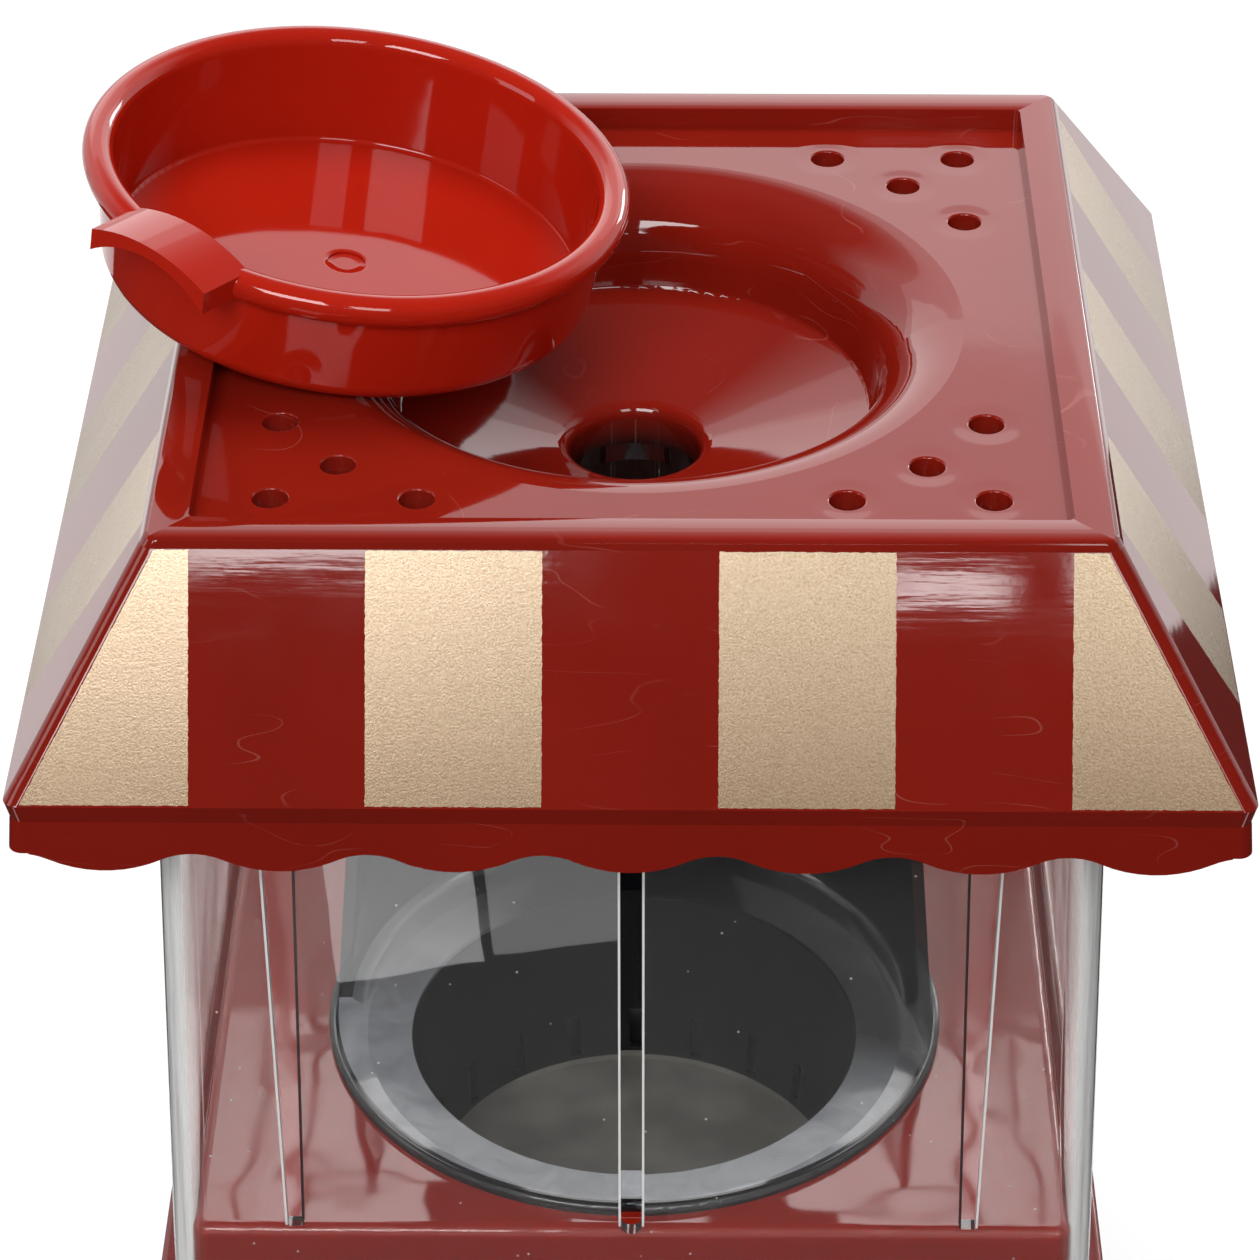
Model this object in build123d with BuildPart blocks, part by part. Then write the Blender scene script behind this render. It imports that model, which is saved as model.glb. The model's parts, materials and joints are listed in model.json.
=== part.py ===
from build123d import *
import math
import os

# Hot-air popcorn maker in the form of a small fairground booth.
# Row frame: +Z up, -Y is the front, origin on the surface it stands on,
# under the middle of the body. Millimetres.

os.makedirs("parts", exist_ok=True)

# ---- Overall levels -------------------------------------------------------
foot_height = 5.0       # surface to the underside of the base
base_height = 135.0     # underside of the base to the shoulder under the case
plinth_height = 17.0    # shoulder to the red floor inside the case
window_height = 107.0   # red floor to the lower edge of the roof slopes
roof_rise = 36.4        # lower edge of the slopes to the top of the rim

shoulder_z = foot_height + base_height
floor_z = shoulder_z + plinth_height
eaves_z = floor_z + window_height
rim_z = eaves_z + roof_rise

# ---- Fits and fasteners ---------------------------------------------------
contact_gap = 0.2          # between a curved face and what it lies on
loose_gap = 0.3            # round a fixed piece in its hole
running_gap = 0.05         # round a shaft or a pin, on the radius
screw_radius = 1.5
screw_head_radius = 2.8
screw_head_height = 2.0
screw_hole_gap = 0.15      # round a screw's shank, on the radius
cut_over = 1.0             # how far a cutting shape runs past a face

# ---- Roof -----------------------------------------------------------------
roof_width = 200.0         # across the lower edge of the slopes
roof_top_width = 154.8     # across the rim
roof_wall = 2.2
roof_corner_radius = 2.4
rim_width = 6.5
deck_recess = 4.0          # rim down to the flat deck
deck_corner_radius = 1.2
rim_edge_round = 1.0
valance_depth = 12.5       # lower edge of the slopes to the tip of a lobe
valance_waist_depth = 3.4
valance_waist_inset = 0.7
valance_corner_flat = 1.65
lobe_count = 7
lobe_depth = 3.2           # top of a valley to the tip of a lobe
valley_share = 0.36        # part of the pitch that a valley takes
pit_mouth_radius = 45.0    # where the pit wall would meet the deck
pit_lip_round = 14.7
pit_floor_radius = 41.4
pit_depth = 17.5           # deck to the foot of the pit wall
pit_floor_fall = 7.6       # fall of the shallow funnel
pit_floor_round = 1.0
kernel_hole_radius = 11.4
kernel_hole_round = 3.0
kernel_tube_drop = 15.0    # kernel hole's lip to the lower end of its tube
vent_radius = 2.9
vent_depth = 4.4           # with the collar under the deck
vent_collar = 1.2
vent_edge_round = 0.4
vent_ring_radius = 68.5
vent_corner_radius = 83.2
vent_spread = 14.3         # degrees each side of the diagonal
rib_thickness = 2.0
rib_offset = 42.0          # each side of the middle of a wall
rib_tooth = 8.0            # how far a rib reaches down outside the case

slope_run = (roof_width - roof_top_width) / 2 / roof_rise
wall_run = roof_wall * math.sqrt(1 + slope_run**2)
deck_z = rim_z - deck_recess
deck_half = roof_top_width / 2 - rim_width
valance_low_z = eaves_z - valance_depth
valance_high_z = valance_low_z + lobe_depth
lobe_pitch = (roof_width - 2 * valance_corner_flat) / lobe_count
pit_floor_z = deck_z - pit_depth
kernel_hole_z = pit_floor_z - pit_floor_fall
kernel_tube_low_z = kernel_hole_z - kernel_tube_drop

# ---- Clear case -----------------------------------------------------------
case_top_rise = 20.0       # case top above the lower edge of the slopes
case_bottom_width = 163.0
case_top_width = 155.7
case_wall = 2.5
case_corner_radius = 6.5
case_fit = 0.6             # roof ribs outside the case
slot_top_drop = 2.0        # slots end this far below the lower edge of the slopes
centre_slot_width = 3.7
centre_slot_rise = 1.0     # lower end above the red floor
side_slot_x = 59.0
side_slot_low_width = 2.5
side_slot_high_width = 5.9
side_slot_rise = 2.5

case_top_z = eaves_z + case_top_rise
case_run = (case_bottom_width - case_top_width) / 2 / (case_top_z - shoulder_z)
slot_top_z = eaves_z - slot_top_drop

# ---- Popping deck ---------------------------------------------------------
deck_side_gap = 0.8       # red deck to the inside of the case
plinth_wall = 2.5
plinth_edge_round = 2.2
deck_boss_radius = 4.0
deck_boss_inset = 12.0     # from the edge of the red floor

# ---- Chute hood and chamber ----------------------------------------------
chute_radius = 57.0        # outside of the black ring
chute_flange = 2.0         # ring's top above the red floor
chute_lip = 0.9            # ring's thickness at the mouth
chute_slope_width = 8.2    # of the slope that leads down to the mouth
mouth_offset = 5.6         # mouth and chamber forward of the ring's middle
chute_edge_round = 1.2
chute_front_gap = 4.5      # black ring to the inside of the case's front wall
chamber_radius = 41.3      # inside, at the mouth
chamber_floor_radius = 38.1
chamber_wall = 1.2
chamber_depth = 39.6       # top of the black ring to the chamber floor
chamber_flange_radius = 45.0
chamber_flange = 0.8
gasket_thickness = 0.6
hood_height = 42.0         # above the ring
hood_inset = 1.5           # hood's foot inside the ring's edge
hood_wall = 2.2
hood_lean = 0.08          # inward, per mm of height
hood_foot_round = 3.6
chute_screw_ring = 49.6
chute_screw_bite = 1.2
louvre_count = 20
louvre_width = 2.4
louvre_height = 9.0
louvre_rise = 2.0          # above the chamber floor

chute_z = floor_z + chute_flange
chamber_floor_z = chute_z - chamber_depth
flange_sink = gasket_thickness + chamber_flange

# ---- Duct, heater, fan and motor -----------------------------------------
duct_radius = 46.5
duct_wall = 2.0
duct_flange_radius = 52.3
duct_flange = 2.0
duct_floor_z = 60.0        # top of the duct's floor, under the fan
duct_floor = 2.0
intake_count = 6
intake_radius = 6.0
intake_ring = 19.0
ledge_z = 88.0             # shelf that the heater stands on
ledge_height = 2.0
ledge_width = 2.0
mica_height = 16.0
mica_thickness = 1.0
coil_radius = 36.0
coil_wire = 1.2
coil_pitch = 5.0
coil_turns = 2.0
coil_notch_gap = 0.3
thermostat_radius = 8.0
thermostat_height = 6.0
fuse_radius = 2.0
fuse_length = 14.0
fuse_y = 15.0              # behind the chamber's middle
motor_radius = 16.0
motor_height = 34.0
motor_edge_round = 1.5
motor_nose_radius = 6.0
motor_nose = 2.6
end_cap_radius = 15.0
end_cap_height = 2.4
board_radius = 12.0
board_thickness = 1.6
diode_radius = 1.4
diode_length = 5.0
shaft_radius = 1.6
shaft_above_duct = 24.0
shaft_below_duct = 30.0
fan_gap = 5.0              # duct floor to the fan's back plate
fan_radius = 42.0
fan_plate = 1.4
fan_hub_radius = 5.0
fan_hub_height = 14.0
blade_count = 12
blade_height = 11.0
blade_thickness = 1.4
blade_inner = 14.0
nut_width = 6.0            # across flats
nut_height = 3.0
motor_screw_x = 10.0
motor_screw_bite = 4.0

# ---- Base -----------------------------------------------------------------
base_width = 170.0
skirt_flare = 7.0          # skirt beyond the body, on each side
base_wall = 2.5
base_corner_radius = 14.0
skirt_height = 9.0
skirt_blend = 8.0
base_opening_gap = 2.5     # round the duct, where it passes the shoulder
post_radius = 5.0
post_inset = 13.0          # from the body's outside
post_hole_depth = 12.0
panel_width = 118.0        # shallow bare panel on the front
panel_height = 74.0
panel_recess = 0.8
panel_round = 8.0
panel_middle_z = 92.0
louvre_slot_count = 7
louvre_slot_width = 3.0
louvre_slot_height = 34.0
louvre_slot_pitch = 9.0
louvre_slot_z = 70.0
plate_thickness = 2.5
grille_slots = 9
grille_slot_width = 3.0
grille_slot_length = 62.0
grille_pitch = 7.0
foot_radius = 9.0
foot_tip_radius = 7.5
foot_stem_radius = 3.0
foot_stem_over = 1.5       # stem above the base plate
foot_x = 50.0
foot_inset = 16.0          # from the front and back of the skirt

base_skirt_width = base_width + 2 * skirt_flare
post_x = base_width / 2 - post_inset
foot_y = base_skirt_width / 2 - foot_inset

# ---- Switch, gland and terminals -----------------------------------------
switch_post_gap = 4.7      # switch body to the post beside it
switch_z = 34.0
switch_flange_width = 15.0
switch_flange_height = 24.0
switch_flange = 1.6
switch_body_width = 12.6
switch_body_height = 21.0
switch_depth = 15.0
switch_wall = 1.2
rocker_throw = 14.0        # degrees between OFF and ON
rocker_pin_radius = 1.0
rocker_pin_depth = 3.4     # pin's axis behind the front wall's face
rocker_peak = 5.4          # pin's axis to the ends of the rocker's face
rocker_back = 3.2
gland_x = -45.0
gland_z = 34.0
gland_bore = 3.5
gland_radius = 7.0
gland_flange_radius = 10.0
gland_flange = 2.5
gland_length = 16.0
terminal_gap = 6.0         # inner end of the gland to the terminals
terminal_width = 30.0
terminal_depth = 14.0
terminal_height = 11.0
terminal_ways = 3

switch_x = post_x - post_radius - switch_post_gap - switch_body_width / 2
terminal_y = base_width / 2 - gland_length - terminal_gap - terminal_depth / 2

# ---- Measuring cup --------------------------------------------------------
cup_rim_radius = 47.5
cup_rim_roll = 2.7         # radius of the rolled rim
cup_wall = 1.3
cup_top_radius = 45.0      # outside of the wall under the rim
cup_base_radius = 42.7
cup_depth = 19.9           # middle of the rolled rim to the underside
cup_base_round = 3.5
cup_inner_round = 0.9
cup_gate_radius = 3.3
cup_gate_depth = 0.5
tab_angle = 232.0          # which way the thumb tab points
tab_reach = 53.0
tab_root = 42.2
tab_width = 25.4
tab_rise = 2.3             # corners of the tab above the middle of the rim
tab_arch = 2.7
tab_thickness = 2.3
tab_return = 4.0           # how far its side edges turn down
cup_x = -50.8              # middle of the cup's underside as it lies
cup_y = 12.9
cup_tilt_right = 8.25      # degrees
cup_tilt_front = 2.15


# Half width of a roof slope, a case wall and the red deck at a level.
def roof_half(z):
    return roof_width / 2 - (z - eaves_z) * slope_run


def case_half(z):
    return case_top_width / 2 + (case_top_z - z) * case_run


def deck_half_at(z):
    return case_half(z) - case_wall - deck_side_gap


# The ring stands forward of the middle, behind the front wall, and its mouth
# and the chamber are further forward still.
chute_y = chute_radius + chute_front_gap + case_wall - case_half(chute_z)
chamber_y = chute_y - mouth_offset
deck_boss_x = deck_half_at(floor_z) - deck_boss_inset


# Half section of the pit's hollow (grow 0) or of its shell (grow = wall).
def pit_half_section(grow, low_z, top_z):
    edge = pit_mouth_radius + pit_lip_round + roof_wall
    corners = [
        (0, low_z),
        (kernel_hole_radius + grow, low_z),
        (kernel_hole_radius + grow, kernel_hole_z - grow),
        (pit_floor_radius + grow, pit_floor_z - grow),
        (pit_mouth_radius + grow, deck_z - grow),
        (edge, deck_z - grow),
        (edge, top_z),
        (0, top_z),
    ]
    rounds = [
        0,
        0,
        max(kernel_hole_round - grow, 0.3),
        pit_floor_round + grow,
        pit_lip_round - grow,
        0,
        0,
        0,
    ]
    return corners, rounds


# ---- Roof canopy ----------------------------------------------------------
# One locating rib: its foot stands on the case, its tooth hangs outside it.
with BuildPart() as rib:
    with BuildSketch(Plane.YZ.offset(rib_offset - rib_thickness / 2)):
        rib_in = case_half(case_top_z) - case_wall
        rib_high_in = min(rib_in, roof_half(deck_z) - wall_run)
        rib_step = case_half(case_top_z) + case_fit
        tooth_z = case_top_z - rib_tooth
        with BuildLine():
            Polyline(
                (rib_in, case_top_z),
                (rib_step, case_top_z),
                (rib_step, tooth_z),
                (roof_half(tooth_z) - wall_run / 2, tooth_z),
                (roof_half(deck_z) - wall_run / 2, deck_z),
                (rib_high_in, deck_z - roof_wall / 2),
                close=True,
            )
        make_face()
    extrude(amount=rib_thickness)
    mirror(about=Plane.YZ)

with BuildPart() as roof_canopy:
    # outside: valance with a slight waist, then the four slopes
    for half, z in (
        (roof_width / 2, valance_low_z),
        (roof_width / 2 - valance_waist_inset, eaves_z - valance_waist_depth),
        (roof_width / 2, eaves_z),
        (roof_top_width / 2, rim_z),
    ):
        with BuildSketch(Plane.XY.offset(z)):
            RectangleRounded(2 * half, 2 * half, roof_corner_radius)
    loft(ruled=True)
    fillet(roof_canopy.edges().group_by(Axis.Z)[-1], rim_edge_round)
    # inside of the slopes
    inner_half = roof_width / 2 - wall_run
    cavity_top_z = rim_z - roof_wall
    for half, z in (
        (inner_half, valance_low_z - cut_over),
        (inner_half, eaves_z),
        (roof_half(cavity_top_z) - wall_run, cavity_top_z),
    ):
        with BuildSketch(Plane.XY.offset(z)):
            RectangleRounded(2 * half, 2 * half, roof_corner_radius - roof_wall / 2)
    loft(ruled=True, mode=Mode.SUBTRACT)
    # deck pan, let in below the rim
    with BuildSketch(Plane.XY.offset(deck_z - roof_wall)):
        pan_width = 2 * (deck_half + roof_wall)
        RectangleRounded(pan_width, pan_width, deck_corner_radius + roof_wall)
    extrude(amount=deck_recess + roof_wall - rim_edge_round)
    with PolarLocations(0, 4):
        add(rib.part)
    # pit, funnel and kernel tube
    with BuildSketch(Plane.XZ):
        with BuildLine():
            corners, rounds = pit_half_section(roof_wall, kernel_tube_low_z, deck_z)
            FilletPolyline(*corners, radius=rounds, close=True)
        make_face()
    revolve(axis=Axis.Z)
    with BuildSketch(Plane.XY.offset(deck_z)):
        RectangleRounded(2 * deck_half, 2 * deck_half, deck_corner_radius)
    extrude(amount=deck_recess + cut_over, mode=Mode.SUBTRACT)
    with BuildSketch(Plane.XZ):
        with BuildLine():
            corners, rounds = pit_half_section(0, kernel_tube_low_z - cut_over, deck_z + cut_over)
            FilletPolyline(*corners, radius=rounds, close=True)
        make_face()
    revolve(axis=Axis.Z, mode=Mode.SUBTRACT)
    # steam vents with collars: three on an arc and one outside it, in each corner
    vent_places = [
        (vent_ring_radius, 45 + 90 * quarter + turn)
        for quarter in range(4)
        for turn in (-vent_spread, 0, vent_spread)
    ] + [(vent_corner_radius, 45 + 90 * quarter) for quarter in range(4)]
    vent_points = [
        (radius * math.cos(math.radians(turn)), radius * math.sin(math.radians(turn)))
        for radius, turn in vent_places
    ]
    with BuildSketch(Plane.XY.offset(deck_z - vent_depth)):
        with Locations(*vent_points):
            Circle(vent_radius + vent_collar)
    extrude(amount=vent_depth - roof_wall / 2)
    with BuildSketch(Plane.XY.offset(deck_z - vent_depth - cut_over)):
        with Locations(*vent_points):
            Circle(vent_radius)
    extrude(amount=vent_depth + 2 * cut_over, mode=Mode.SUBTRACT)
    vent_edges = roof_canopy.edges().filter_by(GeomType.CIRCLE).filter_by(
        lambda edge: abs(edge.radius - vent_radius) < 0.01 and abs(edge.center().Z - deck_z) < 0.01
    )
    fillet(vent_edges, vent_edge_round)
    # scalloped lower edge, cut through both pairs of sides
    valley_half = valley_share * lobe_pitch / 2
    lobe_half = lobe_pitch / 2 - valley_half
    middle_z = valance_high_z - lobe_depth * valley_share
    wave_start = -lobe_pitch * lobe_count / 2
    wall_in = roof_width / 2 - wall_run - cut_over
    wall_out = roof_width / 2 + cut_over
    low_z = valance_low_z - 2 * cut_over
    for wave_plane in (
        Plane.XZ.offset(wall_in),
        Plane.XZ.offset(-wall_out),
        Plane.YZ.offset(wall_in),
        Plane.YZ.offset(-wall_out),
    ):
        with BuildSketch(wave_plane):
            with BuildLine():
                wave = Line((-wall_out, valance_high_z), (wave_start, valance_high_z))
                for lobe in range(lobe_count):
                    start = wave_start + lobe * lobe_pitch
                    stop = start + lobe_pitch
                    wave = TangentArc(wave @ 1, (start + valley_half, middle_z), tangent=(1, 0))
                    wave = ThreePointArc(
                        wave @ 1,
                        (start + valley_half + lobe_half, valance_low_z),
                        (stop - valley_half, middle_z),
                    )
                    wave = TangentArc(wave @ 1, (stop, valance_high_z), tangent=wave % 1)
                Polyline(
                    wave @ 1,
                    (wall_out, valance_high_z),
                    (wall_out, low_z),
                    (-wall_out, low_z),
                    (-wall_out, valance_high_z),
                )
            make_face()
        extrude(amount=wall_out - wall_in, mode=Mode.SUBTRACT)
roof_canopy.part.label = "roof_canopy"

# ---- Clear case -----------------------------------------------------------
with BuildPart() as clear_case:
    for z in (shoulder_z, case_top_z):
        with BuildSketch(Plane.XY.offset(z)):
            RectangleRounded(2 * case_half(z), 2 * case_half(z), case_corner_radius)
    loft(ruled=True)
    for z in (shoulder_z - cut_over, case_top_z + cut_over):
        with BuildSketch(Plane.XY.offset(z)):
            inside = 2 * (case_half(z) - case_wall)
            RectangleRounded(inside, inside, case_corner_radius - case_wall)
    loft(ruled=True, mode=Mode.SUBTRACT)
    # three upright slots in the front wall
    slot_start = case_half(case_top_z) - case_wall - cut_over
    with BuildSketch(Plane.XZ.offset(slot_start)):
        slot_low_z = floor_z + centre_slot_rise
        slot_height = slot_top_z - slot_low_z
        with Locations((0, slot_low_z + slot_height / 2)):
            SlotOverall(slot_height, centre_slot_width, rotation=90)
        side_low_z = floor_z + side_slot_rise
        with BuildLine():
            Polyline(
                (side_slot_x - side_slot_low_width / 2, side_low_z),
                (side_slot_x + side_slot_low_width / 2, side_low_z),
                (side_slot_x + side_slot_high_width / 2, slot_top_z),
                (side_slot_x - side_slot_high_width / 2, slot_top_z),
                close=True,
            )
        make_face()
        with BuildLine():
            Polyline(
                (-side_slot_x - side_slot_low_width / 2, side_low_z),
                (-side_slot_x + side_slot_low_width / 2, side_low_z),
                (-side_slot_x + side_slot_high_width / 2, slot_top_z),
                (-side_slot_x - side_slot_high_width / 2, slot_top_z),
                close=True,
            )
        make_face()
    extrude(amount=case_bottom_width / 2, mode=Mode.SUBTRACT)
clear_case.part.label = "clear_case"

# ---- Popping deck ---------------------------------------------------------
deck_screw_hole = screw_radius + screw_hole_gap
deck_screw_length = plinth_height - plinth_wall
with BuildPart() as popping_deck:
    deck_corner = case_corner_radius - case_wall - deck_side_gap
    for z in (shoulder_z, floor_z):
        with BuildSketch(Plane.XY.offset(z)):
            RectangleRounded(2 * deck_half_at(z), 2 * deck_half_at(z), deck_corner)
    loft(ruled=True)
    fillet(popping_deck.edges().group_by(Axis.Z)[-1], plinth_edge_round)
    with BuildSketch(Plane.XY.offset(shoulder_z)):
        hollow = 2 * (deck_half_at(floor_z) - plinth_wall)
        RectangleRounded(hollow, hollow, deck_corner - plinth_wall / 2)
    extrude(amount=plinth_height - plinth_wall, mode=Mode.SUBTRACT)
    with BuildSketch(Plane.XY.offset(shoulder_z)):
        with GridLocations(2 * deck_boss_x, 2 * deck_boss_x, 2, 2):
            Circle(deck_boss_radius)
    extrude(amount=plinth_height - plinth_wall / 2)
    with BuildSketch(Plane.XY.offset(shoulder_z)):
        with GridLocations(2 * deck_boss_x, 2 * deck_boss_x, 2, 2):
            Circle(deck_screw_hole)
    extrude(amount=deck_screw_length - screw_hole_gap, mode=Mode.SUBTRACT)
    # sunk seat for the gasket and the chamber's flange
    with BuildSketch(Plane.XY.offset(floor_z)):
        with Locations((0, chamber_y)):
            Circle(chamber_flange_radius + loose_gap)
    extrude(amount=-flange_sink, mode=Mode.SUBTRACT)
    with BuildSketch(Plane.XY.offset(floor_z - plinth_wall - cut_over)):
        with Locations((0, chamber_y)):
            Circle(chamber_radius + chamber_wall + loose_gap)
            with PolarLocations(chute_screw_ring, 4, 45):
                Circle(screw_radius + screw_hole_gap)
    extrude(amount=plinth_wall + 2 * cut_over, mode=Mode.SUBTRACT)
popping_deck.part.label = "popping_deck"

with BuildPart() as deck_screws:
    shoulder_under_z = shoulder_z - base_wall
    with BuildSketch(Plane.XY.offset(shoulder_under_z)):
        with GridLocations(2 * deck_boss_x, 2 * deck_boss_x, 2, 2):
            Circle(screw_radius)
    extrude(amount=base_wall + deck_screw_length - 2 * cut_over)
    with BuildSketch(Plane.XY.offset(shoulder_under_z)):
        with GridLocations(2 * deck_boss_x, 2 * deck_boss_x, 2, 2):
            Circle(screw_head_radius)
    extrude(amount=-screw_head_height)
deck_screws.part.label = "deck_screws"

# ---- Chute hood, chamber and gasket --------------------------------------
chute_axis = Axis((0, chute_y, 0), (0, 0, 1))
chute_plane = Plane((0, chute_y, 0), x_dir=(1, 0, 0), z_dir=(0, -1, 0))
chamber_axis = Axis((0, chamber_y, 0), (0, 0, 1))
chamber_plane = Plane((0, chamber_y, 0), x_dir=(1, 0, 0), z_dir=(0, -1, 0))
hood_top_z = chute_z + hood_height
hood_foot_radius = chute_radius - hood_inset - hood_wall
hood_top_radius = hood_foot_radius - hood_lean * hood_height
with BuildPart() as chute_hood:
    # ring, which lies on the red floor
    with BuildSketch(Plane.XY.offset(floor_z)):
        with Locations((0, chute_y)):
            Circle(chute_radius)
    extrude(amount=chute_flange)
    fillet(chute_hood.edges().group_by(Axis.Z)[-1], chute_edge_round)
    # mouth, with a shallow slope down to it
    with BuildSketch(chamber_plane):
        with BuildLine():
            Polyline(
                (0, floor_z - cut_over),
                (chamber_radius, floor_z - cut_over),
                (chamber_radius, floor_z + chute_lip),
                (chamber_radius + chute_slope_width, chute_z),
                (0, chute_z),
                close=True,
            )
        make_face()
    revolve(axis=chamber_axis, mode=Mode.SUBTRACT)
    # half-round wall behind the mouth, with a soft foot
    with BuildSketch(chute_plane):
        with BuildLine():
            foot_in = hood_foot_radius - hood_foot_round
            foot_z = chute_z - chute_edge_round
            FilletPolyline(
                (foot_in, foot_z),
                (hood_foot_radius + hood_wall, foot_z),
                (hood_top_radius + hood_wall, hood_top_z),
                (hood_top_radius, hood_top_z),
                (hood_foot_radius, chute_z),
                (foot_in, chute_z),
                radius=[0, 0, hood_wall / 3, hood_wall / 3, hood_foot_round * 0.8, 0],
                close=True,
            )
        make_face()
    revolve(axis=chute_axis, revolution_arc=180)
    with BuildSketch(Plane.XY.offset(floor_z)):
        with Locations((0, chamber_y)):
            with PolarLocations(chute_screw_ring, 4, 45):
                Circle(screw_radius + screw_hole_gap)
    extrude(amount=chute_screw_bite + screw_hole_gap, mode=Mode.SUBTRACT)
chute_hood.part.label = "chute_hood"

with BuildPart() as popping_chamber:
    with BuildSketch(chamber_plane):
        with BuildLine():
            Polyline(
                (0, chamber_floor_z - chamber_wall),
                (chamber_floor_radius + chamber_wall, chamber_floor_z - chamber_wall),
                (chamber_radius + chamber_wall, floor_z - chamber_flange),
                (chamber_flange_radius, floor_z - chamber_flange),
                (chamber_flange_radius, floor_z),
                (chamber_radius, floor_z),
                (chamber_floor_radius, chamber_floor_z),
                (0, chamber_floor_z),
                close=True,
            )
        make_face()
    revolve(axis=chamber_axis)
    # slanted louvres low in the wall swirl the hot air
    with Locations((0, chamber_y, chamber_floor_z + louvre_rise + louvre_height / 2)):
        with PolarLocations(chamber_floor_radius + chamber_wall / 2, louvre_count):
            Box(4 * chamber_wall, louvre_width, louvre_height, mode=Mode.SUBTRACT)
popping_chamber.part.label = "popping_chamber"

with BuildPart() as chamber_gasket:
    with BuildSketch(Plane.XY.offset(floor_z - flange_sink)):
        with Locations((0, chamber_y)):
            Circle(chamber_flange_radius)
            Circle(chamber_radius + chamber_wall + loose_gap, mode=Mode.SUBTRACT)
    extrude(amount=gasket_thickness)
chamber_gasket.part.label = "chamber_gasket"

with BuildPart() as chute_screws:
    duct_top_z = floor_z - plinth_wall
    with BuildSketch(Plane.XY.offset(duct_top_z - duct_flange)):
        with Locations((0, chamber_y)):
            with PolarLocations(chute_screw_ring, 4, 45):
                Circle(screw_radius)
    extrude(amount=duct_flange + plinth_wall + chute_screw_bite)
    with BuildSketch(Plane.XY.offset(duct_top_z - duct_flange)):
        with Locations((0, chamber_y)):
            with PolarLocations(chute_screw_ring, 4, 45):
                Circle(screw_head_radius)
    extrude(amount=-screw_head_height)
chute_screws.part.label = "chute_screws"

# ---- Air duct -------------------------------------------------------------
with BuildPart() as air_duct:
    with BuildSketch(chamber_plane):
        with BuildLine():
            duct_in = duct_radius - duct_wall
            Polyline(
                (0, duct_floor_z - duct_floor),
                (duct_radius, duct_floor_z - duct_floor),
                (duct_radius, duct_top_z - duct_flange),
                (duct_flange_radius, duct_top_z - duct_flange),
                (duct_flange_radius, duct_top_z),
                (duct_in, duct_top_z),
                (duct_in, ledge_z + ledge_height),
                (duct_in - ledge_width, ledge_z + ledge_height),
                (duct_in - ledge_width, ledge_z),
                (duct_in, ledge_z),
                (duct_in, duct_floor_z),
                (0, duct_floor_z),
                close=True,
            )
        make_face()
    revolve(axis=chamber_axis)
    with BuildSketch(Plane.XY.offset(duct_floor_z)):
        with Locations((0, chamber_y)):
            Circle(motor_nose_radius + loose_gap)
            with PolarLocations(intake_ring, intake_count):
                Circle(intake_radius)
            with PolarLocations(motor_screw_x, 2, 30):
                Circle(screw_radius + screw_hole_gap)
    extrude(amount=-duct_floor, mode=Mode.SUBTRACT)
    with BuildSketch(Plane.XY.offset(duct_top_z)):
        with Locations((0, chamber_y)):
            with PolarLocations(chute_screw_ring, 4, 45):
                Circle(screw_radius + screw_hole_gap)
    extrude(amount=-duct_flange, mode=Mode.SUBTRACT)
air_duct.part.label = "air_duct"

# ---- Heater ---------------------------------------------------------------
mica_z = ledge_z + ledge_height
coil_low_z = mica_z + (mica_height - coil_pitch * coil_turns) / 2
with BuildPart() as heater_frame:
    with BuildSketch(Plane.XY.offset(mica_z)):
        with Locations((0, chamber_y)):
            mica_span = 2 * (duct_radius - duct_wall - loose_gap)
            Rectangle(mica_span, mica_thickness)
            Rectangle(mica_thickness, mica_span)
    extrude(amount=mica_height)
    # a notch wherever the coil crosses an arm
    notch_height = coil_wire * 2 + 2 * coil_notch_gap
    notch_in = coil_radius - coil_wire - coil_notch_gap
    notch_length = duct_radius - notch_in
    for crossing in range(int(4 * coil_turns) + 1):
        turn = math.radians(90 * crossing)
        reach = notch_in + notch_length / 2
        with Locations(
            Location(
                (
                    reach * math.cos(turn),
                    chamber_y + reach * math.sin(turn),
                    coil_low_z + coil_pitch * crossing / 4,
                ),
                (0, 0, 90 * crossing),
            )
        ):
            Box(notch_length, 3 * mica_thickness, notch_height, mode=Mode.SUBTRACT)
heater_frame.part.label = "heater_frame"

with BuildPart() as heater_coil:
    with BuildLine() as coil_path:
        Helix(coil_pitch, coil_pitch * coil_turns, coil_radius, center=(0, chamber_y, coil_low_z))
    with BuildSketch(Plane(coil_path.line @ 0, z_dir=coil_path.line % 0)):
        Circle(coil_wire)
    sweep()
heater_coil.part.label = "heater_coil"

with BuildPart() as thermostat:
    with BuildSketch(Plane.XY.offset(chamber_floor_z - chamber_wall)):
        with Locations((0, chamber_y)):
            Circle(thermostat_radius)
    extrude(amount=-thermostat_height)
    fillet(thermostat.edges().group_by(Axis.Z)[0], thermostat_height / 6)
thermostat.part.label = "thermostat"

with BuildPart() as thermal_fuse:
    fuse_z = chamber_floor_z - chamber_wall - contact_gap - fuse_radius
    with BuildSketch(Plane.YZ.offset(-fuse_length / 2)):
        with Locations((chamber_y + fuse_y, fuse_z)):
            Circle(fuse_radius)
    extrude(amount=fuse_length)
    chamfer(thermal_fuse.edges(), fuse_radius / 4)
thermal_fuse.part.label = "thermal_fuse"

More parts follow.
